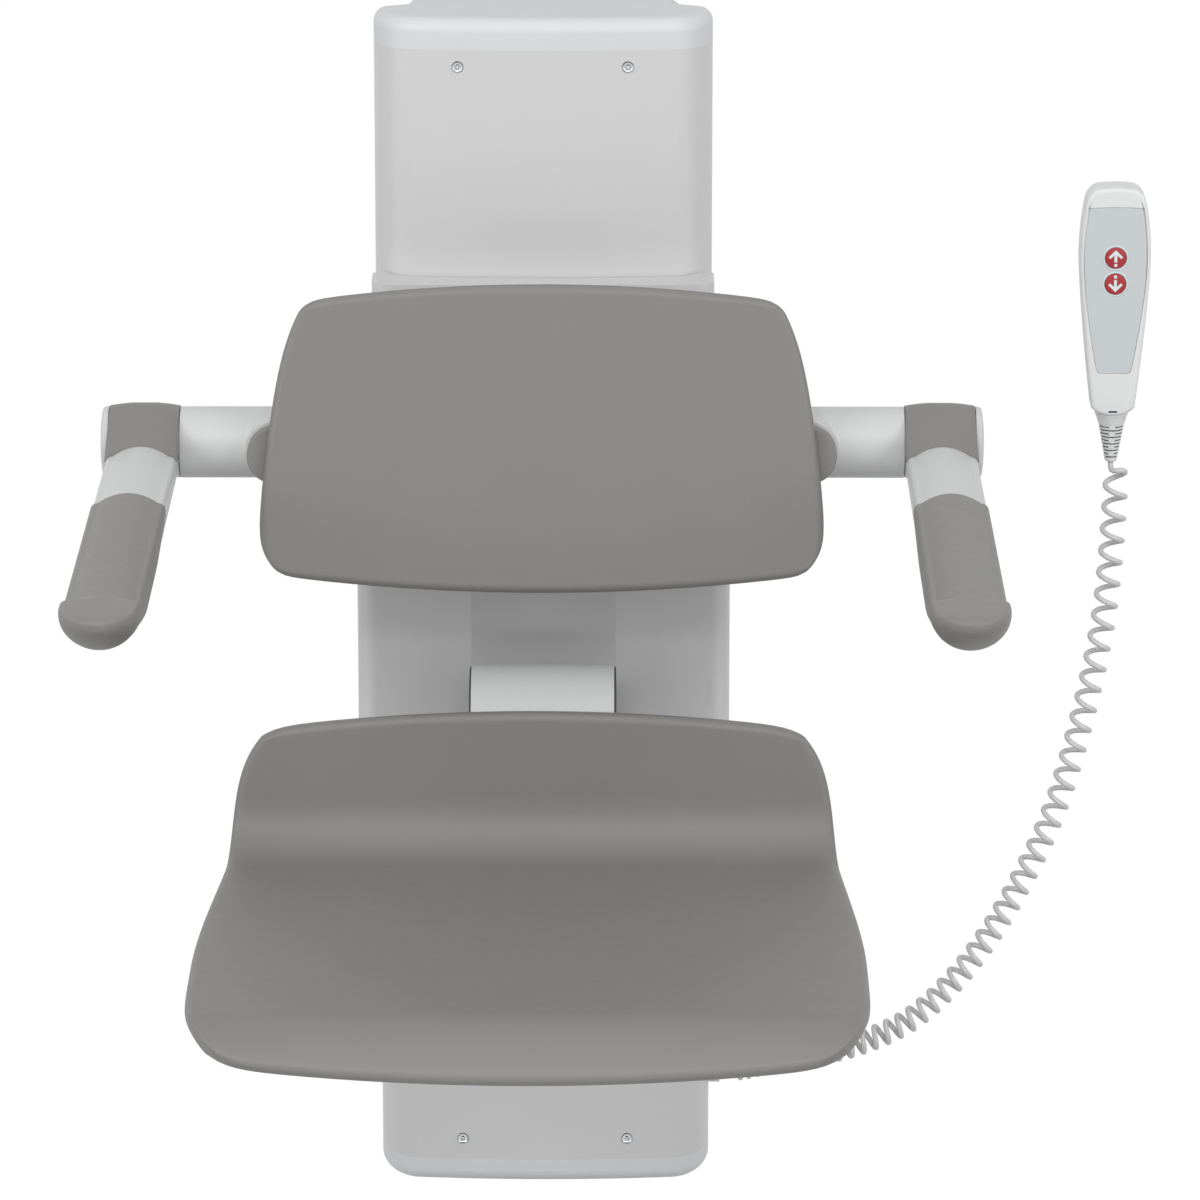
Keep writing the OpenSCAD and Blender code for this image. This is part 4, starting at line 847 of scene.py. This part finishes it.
class SHOWERSEAT_OT_seat(bpy.types.Operator):
    """Moulds the seat shell with its raised rear, hollow and turned-down front"""

    bl_idname = "shower_seat.seat"
    bl_label = "Seat shell"

    def execute(self, context):
        sizes = context.scene.shower_seat_sizes
        seat_x, seat_f, front, top = -0.0065, 0.208, 0.616, 0.298
        rim_h, rim_bend, front_bend, turn = 0.064, 0.041, 0.056, math.radians(60)
        flat = front - seat_f - rim_bend - front_bend * math.sin(turn)
        s_flat = rim_h + rim_bend * math.pi / 2
        s_drop = s_flat + flat
        whole = s_drop + front_bend * turn
        mid_h = top - sizes.seat_t / 2

        # The rear bend starts and ends softly: its slope is averaged over 36 mm
        grid = np.linspace(-0.05, whole + 0.05, 1601)
        soft = np.convolve(np.clip((grid - rim_h) / rim_bend, 0, math.pi / 2), np.hanning(97) / 48, "same")
        soft = np.where(grid < s_flat + 0.06, soft, math.pi / 2)
        tilt = math.pi / 2 - soft + np.clip((grid - s_drop) / front_bend, 0, turn)
        step = grid[1] - grid[0]
        along, down = np.cumsum(np.cos(tilt)) * step, np.cumsum(np.sin(tilt)) * step
        mid = s_flat + flat / 2
        along += seat_f + rim_bend + flat / 2 - np.interp(mid, grid, along)
        down -= np.interp(mid, grid, down)

        def line(s):
            """Distance from the wall, height and slope of the middle plane."""
            return np.interp(s, grid, along), mid_h - np.interp(s, grid, down), np.interp(s, grid, tilt)

        def half_width(v):
            """Half the width, which grows from the rear and is cut in at both ends' corners."""
            wide = sizes.seat_rear_w / 2 + (sizes.seat_w - sizes.seat_rear_w) / 2 * smooth_step(v / 0.7)
            return wide - 0.0195 * (1 - v) ** 20 - 0.015 * v**24

        def point(u, v, side):
            s = bowed_place(u, v, whole, (0.0127, 0.0063, 20), (0.0137, 0.016, 20))
            half = half_width(v)
            f, h, slope = line(s)
            t = rounded_thickness(sizes.seat_t, side, half, u, v, whole)
            low = 0.004 * np.sin(math.pi * smooth_step((s - rim_h) / (whole - rim_h))) * (1 - u * u)
            x = seat_x + u * half
            return np.stack([x, -(f + t * np.sin(slope)), above_foot(h + t * np.cos(slope) - low)], axis=1)

        seat = moulded_sheet("moulded_seat", point, sizes.seat_w, whole, sizes.seat_t, 150)
        settle(seat, "seat", "soft_grey", "seat_shell")
        return {"FINISHED"}


class SHOWERSEAT_OT_backrest(bpy.types.Operator):
    """Moulds the leaning backrest, which curves forward at its sides"""

    bl_idname = "shower_seat.backrest"
    bl_label = "Backrest"

    def execute(self, context):
        sizes = context.scene.shower_seat_sizes
        lean = math.radians(10.5)
        back_f, mid_h, taper, curve = 0.189, 0.590, 0.0135, 0.006

        def point(u, v, side):
            s = bowed_place(u, v, sizes.back_h, (0.0118, 0.0085, 30), (0.013, 0.0092, 39))
            half = sizes.back_w / 2 - taper * (1 - smooth_step(v)) - 0.0145 * (1 - v) ** 6 - 0.008 * v**19
            t = rounded_thickness(sizes.back_t, side, half, u, v, sizes.back_h)
            x = u * half
            y = -t - curve * 4 * x * x / sizes.back_w**2
            z = sizes.back_h / 2 - s
            turned_y = y * math.cos(lean) + z * math.sin(lean)
            turned_z = -y * math.sin(lean) + z * math.cos(lean)
            return np.stack([x, turned_y - back_f, turned_z + above_foot(mid_h)], axis=1)

        back = moulded_sheet("moulded_backrest", point, sizes.back_w, sizes.back_h, sizes.back_t, 90)
        settle(back, "carriage", "soft_grey", "backrest")
        return {"FINISHED"}


# -------- armrests

# The pad's nose: distance in front of the wall, and shares of the half width, the lip's rise and the
# underside's rise
NOSE_ROWS = np.array([
    (0.5350, 1.000, 0.00, 0.00), (0.5600, 1.000, 0.00, 0.06), (0.5850, 1.000, 0.00, 0.14),
    (0.5970, 1.000, 0.08, 0.19), (0.6010, 1.005, 0.40, 0.21), (0.6050, 1.015, 0.78, 0.23),
    (0.6100, 1.020, 0.96, 0.26), (0.6170, 1.020, 1.00, 0.31), (0.6250, 1.010, 1.00, 0.38),
    (0.6320, 0.980, 1.00, 0.47), (0.6390, 0.910, 0.98, 0.59), (0.6455, 0.780, 0.93, 0.72),
    (0.6510, 0.600, 0.82, 0.86), (0.6537, 0.400, 0.64, 0.95), (0.6550, 0.250, 0.50, 1.00),
])
LIP_UP = 0.007


def arm_section(half, edge, crown, low, cut=None, share=0.25, oval=0.5):
    """Section of an armrest: an oval underside that may be cut flat, rounded top corners and a crowned top.
    share limits the corners' radius and oval is the depth of the underside, both as shares of the height."""
    r, side = min(0.005, (edge - low) * share), (edge - low) * oval
    inner = half - r
    if cut is None:
        a = np.radians(np.linspace(180, 360, 37))
        under = np.stack([half * np.cos(a), low + side * (1 + np.sin(a))], axis=1)
    else:
        a = math.pi + math.asin(max(0.0, 1 - (cut - low) / side)) * np.linspace(0, 1, 13)
        left = np.stack([half * np.cos(a), np.maximum(low + side * (1 + np.sin(a)), cut)], axis=1)
        flat = np.stack([left[-1, 0] * np.linspace(1, -1, 13)[1:-1], np.full(11, cut)], axis=1)
        under = np.concatenate([left, flat, left[::-1] * (-1, 1)])
    b = np.radians(np.linspace(0, 90, 9))
    right = np.stack([inner + r * np.cos(b), edge - r + r * np.sin(b)], axis=1)
    x = inner * np.linspace(1, -1, 27)[1:-1]
    top = np.stack([x, edge + crown * (1 - (x / inner) ** 2)], axis=1)
    left = right[::-1] * (-1, 1)
    return np.concatenate([under, right, top, left])


def arm_form(rows, middle):
    """Points and faces of a form about an armrest's middle, from rows of a distance and a section's values."""
    return closed_form([facing(arm_section(*values), middle, f) for f, values in rows])


class SHOWERSEAT_OT_armrests(bpy.types.Operator):
    """Builds both armrests: the metal bar, the hinge cover and the soft pad with its raised nose"""

    bl_idname = "shower_seat.armrests"
    bl_label = "Armrests"

    def execute(self, context):
        sizes = context.scene.shower_seat_sizes
        for side in ("left", "right"):
            body = side + "_armrest"
            middle = middle_of(side + "_arm_bar")[0]
            self.bar(sizes, side, body, middle)
            self.pad(sizes, side, body, middle)
            cover = copy_of(side + "_arm_cover", side + "_hinge_cover", "shell", 0.0008)
            settle(cover, body, "soft_grey", side + "_arm_cover")
        return {"FINISHED"}

    def bar(self, sizes, side, body, middle):
        """The metal bar, whose front end tapers inside the pad's nose, with its hub round the tube."""
        half = sizes.arm_w / 2
        rows = [(f, (half, ARM_EDGE, ARM_CROWN, ARM_LOW)) for f in (TUBE_F, 0.28, 0.41, 0.531)]
        rows.append((0.5895, (half - 0.006, ARM_EDGE, ARM_CROWN, ARM_LOW + 0.012)))
        hub = rod(sizes.tube_d / 2, (middle, -TUBE_F, above_foot(TUBE_UP)), "x", -half, half)
        piece = new_object(side + "_satin_bar", *merge([arm_form(rows, middle), hub]), "bar")
        settle(even_shading(piece), body, "anodised", side + "_arm_bar")

    def pad(self, sizes, side, body, middle):
        """A pad whose top and sides wrap the bar, with its thickness rolled in at the rear edge."""
        t, rear_f, nose_f, end_f = 0.002, 0.336, NOSE_ROWS[0, 0], NOSE_ROWS[-1, 0]
        half, tall = sizes.arm_w / 2, ARM_EDGE - ARM_LOW
        rows = []
        for a in quarter(6):
            out = t * (0.33 + 0.67 * math.sin(a))
            cut = ARM_LOW + tall * (0.90 - 0.12 * math.sin(a))
            values = half + out / 2, ARM_EDGE + out, ARM_CROWN, ARM_LOW - out, cut
            rows.append((rear_f + 2 * t * (1 - math.cos(a)), values))
        for k in np.linspace(0, 1, 16)[1:]:
            f = rear_f + 2 * t + (nose_f - t / 2 - rear_f - 2 * t) * k
            cut = ARM_LOW + tall * (0.78 - 0.02 * min(1, 40 * k) - 0.62 * k)
            rows.append((f, (half + t / 2, ARM_EDGE + t, ARM_CROWN, ARM_LOW - t, cut)))
        for f, wide, lip, risen in smooth_rows(NOSE_ROWS, 85):
            f, grown = min(f, end_f), smooth_step((min(f, end_f) - nose_f) / 0.065)
            low = ARM_LOW - t + (tall + t) * min(max(risen, 0.0), 1.0)
            crown = ARM_CROWN * (1 - 0.9 * lip) * min(1, wide) ** 2
            values = (half + t / 2) * wide, ARM_EDGE + t + LIP_UP * lip, crown, low
            rows.append((f, (*values, None, 0.25 - 0.13 * grown, 0.5 + 0.34 * grown)))
        piece = new_object(side + "_soft_pad", *arm_form(rows, middle), "shell", 50)
        settle(piece, body, "soft_grey", side + "_arm_pad")


# -------- handset

# The foot's and the top's arch, the foil's distances from the housing's ends and sides, how it tapers
# and is rounded, its thickness, and how far the housing's rim stands over it
FOOT_ARCH, FOOT_CORNER, TOP_ARCH = 0.004, 0.002, 0.001
FOIL_LOW, FOIL_TOP, FOIL_EDGE, FOIL_ARCH = 0.0318, 0.0146, 0.0025, 0.0006
FOIL_TAPER, FOIL_ROUND, FOIL_T, RIM_UP = 0.0042, 0.0026, 0.0008, 0.0003
FOOT_STEPS, SIDE_STEPS, TOP_STEPS = 10, 46, 12


def handset_half(sizes, v):
    """Half width of the housing at a share of its side's height."""
    w, foot = sizes.handset_w / 2, sizes.handset_foot_w / 2
    k = np.maximum(v - 0.68, 0) / 0.32
    rising = w - (w - foot) * np.maximum(1 - v / 0.68, 0) ** 1.35
    return np.where(v < 0.68, rising, w * (1 - 0.22 * k**2 - 0.24 * k**16))


def closed_outline(foot, right, top):
    """Joins the right halves of a foot, a side and a top with their mirror images, anticlockwise."""
    half = np.concatenate([foot, right, top])
    return np.concatenate([half, (half * (-1, 1))[-2:0:-1]])


def handset_outline(sizes, inset):
    """Outline of the housing seen from the front: a narrow foot that hangs down in its middle."""
    low = FOOT_ARCH + FOOT_CORNER
    whole = sizes.handset_l - TOP_ARCH - low
    v = np.concatenate([np.linspace(0, 0.9, 32, endpoint=False), 1 - 0.1 * np.linspace(1, 0, SIDE_STEPS - 32) ** 2])
    right = np.stack([handset_half(sizes, v) - inset, low + inset + (whole - 2 * inset) * v], axis=1)
    corner = right[0, 0] - FOOT_CORNER
    x = corner * np.linspace(0, 1, FOOT_STEPS)
    foot = np.stack([x, inset + FOOT_ARCH * (x / corner) ** 2], axis=1)
    x = right[-1, 0] * np.linspace(1, 0, TOP_STEPS + 1)[1:]
    top = np.stack([x, sizes.handset_l - inset - TOP_ARCH * (x / right[-1, 0]) ** 2], axis=1)
    return closed_outline(foot, right, top)


def foil_outline(sizes, grow):
    """Outline of the foil, with as many points as the housing's outline."""
    low = FOOT_ARCH + FOOT_CORNER
    whole, side = sizes.handset_l - FOIL_LOW - FOIL_TOP, sizes.handset_l - TOP_ARCH - low
    turn = np.linspace(0, math.pi / 2, 8)
    end = FOIL_ROUND / whole * (1 - np.cos(turn))
    v = np.concatenate([end, np.linspace(end[-1], 1 - end[-1], SIDE_STEPS - 14)[1:-1], (1 - end)[::-1]])
    half = handset_half(sizes, (FOIL_LOW - low + v * whole) / side) - FOIL_EDGE - FOIL_TAPER * (1 - v) ** 3
    half -= FOIL_ROUND * (1 - edge_round(np.minimum(v, 1 - v) * whole, FOIL_ROUND))
    right = np.stack([half + grow, FOIL_LOW - grow + v * (whole + 2 * grow)], axis=1)
    foot = np.stack([right[0, 0] * np.linspace(0, 1, FOOT_STEPS + 1)[:-1], np.full(FOOT_STEPS, right[0, 1])], axis=1)
    x = right[-1, 0] * np.linspace(1, 0, TOP_STEPS + 1)[1:]
    top = np.stack([x, right[-1, 1] + FOIL_ARCH * (1 - (x / right[-1, 0]) ** 2)], axis=1)
    return closed_outline(foot, right, top)


class SHOWERSEAT_OT_handset(bpy.types.Operator):
    """Builds the handset: two housing halves, film, buttons with arrows, and the slitted strain relief"""

    bl_idname = "shower_seat.handset"
    bl_label = "Handset"

    def execute(self, context):
        sizes = context.scene.shower_seat_sizes
        low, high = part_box("handset_front")
        self.x, self.foot = middle_of("handset_front")[0], low[2]
        self.face, self.split, self.rear = -low[1], -high[1], -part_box("handset_back")[1][1]
        self.keys = [(name, middle_of("button_" + name)[2], way) for name, way in (("up", 1), ("down", -1))]
        r, top, split = 0.0025, self.face + FOIL_T, self.split
        rim = top + RIM_UP
        front = [(0.0001, split), (0.0, split + 0.0002), *rounding(r, rim, 6)]
        back = [(0.0001, split), (0.0, split - 0.0002), *rounding(r, self.rear, 6, -1)]
        bed = [(0.00055, rim), (0.00030, rim - 0.0001), (0.00025, rim - 0.0004), (0.00025, self.face)]
        film = [(0.0, self.face + 0.0001), (0.0, top - 0.0003), (-0.0001, top - 0.00015), (-0.0003, top - 0.0001)]
        front = self.rings(sizes, handset_outline, front) + self.rings(sizes, foil_outline, bed)
        back, film = self.rings(sizes, handset_outline, back), self.rings(sizes, foil_outline, film)
        self.close(sizes, "housing_front", front, "housing", "handset_white", "handset_front", True)
        self.close(sizes, "housing_back", back, "housing", "handset_white", "handset_back", False)
        self.close(sizes, "front_film", film, "foil", "foil_blue_grey", "handset_foil", True)
        self.slot_at_foot()
        for key in self.keys:
            self.button(sizes, *key)
        self.strain_relief()
        settle(copy_of("handset_holder", "wall_hook", "housing", 0.0008), "column", "handset_white", "handset_holder")
        return {"FINISHED"}

    def rings(self, sizes, outline, rows):
        """Rings of an outline for rows of its offset and its distance from the wall."""
        return [facing(outline(sizes, offset), self.x, f, self.foot) for offset, f in rows]

    def close(self, sizes, name, rings, finish, slot, node, holed):
        """A closed form through rings, with holes for both buttons where it is holed."""
        piece = new_object(name, *closed_form(rings), finish, 50)
        if holed:
            r, deep, proud = sizes.button_d / 2 + 0.00035, 0.0034 - self.face, -self.face - 0.003
            bores = [rod(r, (self.x, 0, z), "y", deep, proud, 0.0, 64) for _, z, _ in self.keys]
            carve(piece, merge(bores), finish, 50)
        settle(even_shading(piece), "handset", slot, node)

    def slot_at_foot(self):
        """A narrow dark slot in a pale frame on the front, close above the foot."""
        z, face = self.foot + 0.0034, self.face + FOIL_T + RIM_UP
        for name, half, tall, proud, finish in (
            ("foot_slot_frame", 0.0037, 0.0011, 0.00008, "mark"), ("foot_slot", 0.0032, 0.0007, 0.00016, "dark")
        ):
            turn = np.linspace(0, 2 * math.pi, 40, endpoint=False)
            a, b = np.cos(turn), np.sin(turn)
            line = np.stack([np.sign(a) * (half - tall) + tall * a, tall * b], axis=1)
            form = closed_form([facing(line, self.x, face + d, z) for d in (-0.0006, proud)])
            settle(new_object(name, *form, finish, 40), "handset", "handset_white")

    def button(self, sizes, name, z, way):
        """A flat red key with an arrow and a dot, in a pale ring that stands a little proud."""
        r, face, centre = sizes.button_d / 2, -self.face - 0.0012, (self.x, 0, z)
        disc = offsets(r, face, ((0, 0.0035), (0, 0.0005), (-0.0001, 0.0002), (-0.0004, 0)))
        key = new_object(name + "_key", *lathe(disc, centre, "y", ROUND_STEPS), "button", 40)
        settle(key, name + "_button", "button_red", "button_" + name)
        tip = [(0, 0.0058), (0.00515, 0.00075), (0.0039, -0.0007), (0.00105, 0.00205), (0.00105, -0.0031)]
        arrow = tip + [(-a, b) for a, b in tip[:0:-1]]
        dot = [(0.00105, -0.0042), (0.00105, -0.0063), (-0.00105, -0.0063), (-0.00105, -0.0042)]
        plates = [
            closed_form([[(self.x + a, face - d, z + way * b) for a, b in shape] for d in (-0.0002, 0.0001)])
            for shape in (arrow, dot)
        ]
        settle(new_object(name + "_arrow", *merge(plates), "mark", 30), name + "_button", "button_red")
        bezel = offsets(r, -self.face - FOIL_T, (
            (0.0002, 0.0003), (0.0002, -0.0002), (0.0004, -0.0004),
            (0.0012, -0.0004), (0.0015, -0.0001), (0.0015, 0.0003),
        ))
        n, last = ROUND_STEPS, ROUND_STEPS * (len(bezel) - 1)
        points, faces = lathe(bezel, centre, "y", n)
        faces = faces[:-2] + [(i, (i + 1) % n, last + (i + 1) % n, last + i) for i in range(n)]
        settle(new_object(name + "_ring", points, faces, "ring", 40), "handset", "foil_blue_grey")

    def strain_relief(self):
        """A collar and a tapering sleeve whose slits, between small bridges, have floors in a darker grey: painted
        shade.
        """
        low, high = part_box("strain_relief")
        x, y, _ = middle_of("strain_relief")
        base, rows, steps = low[2], 10, 72
        collar, shoulder, end = (high[0] - low[0]) / 2, high[2] - FOOT_ARCH - base, high[2] - base
        sleeve = shoulder * 0.81
        root, tip = 0.0094, 0.0042

        def radius(h):
            return tip + (root - tip) * h / sleeve

        start = sleeve * 0.13
        pitch = (sleeve - start) / rows
        profile = [(tip * 0.55, 0), (tip * 0.78, 0.0002), (tip * 0.93, 0.0008), (radius(0.0018), 0.0018)]
        # deep holds the rows at each slit's floor, which get the painted shade
        deep = set()
        for i in range(rows):
            h0 = start + i * pitch
            h1 = h0 + pitch * 0.36
            deep.update((len(profile) + 1, len(profile) + 2, len(profile) + 3))
            profile += offsets(radius(h0), h0, ((-0.0001, -0.00008), (-0.0002, 0), (-0.0012, 0)))
            profile += offsets(radius(h1), h1, ((-0.0012, 0), (-0.0002, 0), (-0.0001, 0.00008)))
        profile += [(root, sleeve), (root + 0.0004, sleeve + 0.0002)]
        profile += [(collar - 0.0006, shoulder - 0.0008), (collar, shoulder), (collar, end)]
        form = lathe([(r, base + h) for r, h in profile], (x, y, 0), "z", steps)
        core = new_object("relief_sleeve", *form, "housing", 35, False)
        # The slits' floors take the darker grey: painted shade where the slits are occluded
        core.data.materials.append(FINISHES["shadow"])
        for face in core.data.polygons:
            face.material_index = int(face.index < steps * (len(profile) - 1) and face.index // steps in deep)
        face_outwards(core.data)
        shade(core.data, 35)
        settle(core, "handset", "cap_grey", "strain_relief")

        across, tall = ((-1, -1), (1, -1), (1, 1), (-1, 1)), pitch * 0.18
        for name, first, half, ways in (
            ("relief_bridges_front", 1, (0.0021, 0.0006), ((0, -1), (0, 1))),
            ("relief_bridges_side", 0, (0.0006, 0.0021), ((-1, 0), (1, 0))),
        ):
            places = []
            for i in range(first, rows, 2):
                h = start + (i + 0.18) * pitch
                places += [(x + a * (radius(h) - 0.00066), y + b * (radius(h) - 0.00066), base + h) for a, b in ways]
            block = closed_form([[(i * half[0], j * half[1], k * tall) for i, j in across] for k in (-1, 1)])
            pattern = new_object(name + "_pattern", *block, "housing", 30)
            settle(repeat(name, places, pattern, "housing", 30), "handset", "cap_grey")


# -------- everything else


class SHOWERSEAT_OT_inner(bpy.types.Operator):
    """Gives the rail, frame, drive, hinge and bracket their finishes"""

    bl_idname = "shower_seat.inner"
    bl_label = "Inner pieces"

    def execute(self, context):
        finishes = {
            "anodised": "rail", "inner_steel": "steel", "screw_steel": "steel", "drive_black": "dark",
            "bearing_white": "bearing", "cap_grey": "cap", "soft_grey": "shell", "handset_white": "housing",
            "foil_blue_grey": "foil", "button_red": "button", "cord_grey": "cord", "column_grey": "coat",
        }
        slots = {part["node"]: part["material_slot"] for part in frame["record"]["subparts"]}
        for node, piece in frame["nodes"].items():
            finish = FINISHES["bar" if node == "seat_bracket" else finishes[slots[node]]]
            if not piece.material_slots:
                piece.data.materials.append(finish)
            for slot in piece.material_slots:
                slot.link = "OBJECT"
                slot.material = finish
        return {"FINISHED"}


class SHOWERSEAT_PT_panel(bpy.types.Panel):
    """Lists the steps that build the shower seat, with its sizes and colours"""

    bl_idname = "SHOWERSEAT_PT_panel"
    bl_label = "Shower Seat"
    bl_space_type = "VIEW_3D"
    bl_region_type = "UI"
    bl_category = "Shower Seat"

    def draw(self, context):
        for step in STEPS:
            self.layout.operator(step.bl_idname)
        scene = context.scene
        for title, group in (("Sizes", scene.shower_seat_sizes), ("Colours", scene.shower_seat_colours)):
            box = self.layout.box()
            box.label(text=title)
            for name in group.__annotations__:
                box.prop(group, name)


STEPS = (
    SHOWERSEAT_OT_stage,
    SHOWERSEAT_OT_cord,
    SHOWERSEAT_OT_column,
    SHOWERSEAT_OT_carriage,
    SHOWERSEAT_OT_tube,
    SHOWERSEAT_OT_seat,
    SHOWERSEAT_OT_backrest,
    SHOWERSEAT_OT_armrests,
    SHOWERSEAT_OT_handset,
    SHOWERSEAT_OT_inner,
)
CLASSES = (ShowerSeatSizes, ShowerSeatColours, *STEPS, SHOWERSEAT_PT_panel)


def register():
    for cls in CLASSES:
        bpy.utils.register_class(cls)
    bpy.types.Scene.shower_seat_sizes = PointerProperty(type=ShowerSeatSizes)
    bpy.types.Scene.shower_seat_colours = PointerProperty(type=ShowerSeatColours)


def unregister():
    del bpy.types.Scene.shower_seat_colours
    del bpy.types.Scene.shower_seat_sizes
    for cls in reversed(CLASSES):
        bpy.utils.unregister_class(cls)


def main():
    register()
    make_finishes(bpy.context.scene.shower_seat_colours)
    for step in STEPS:
        getattr(bpy.ops.shower_seat, step.bl_idname.split(".")[1])()


if __name__ == "__main__":
    main()
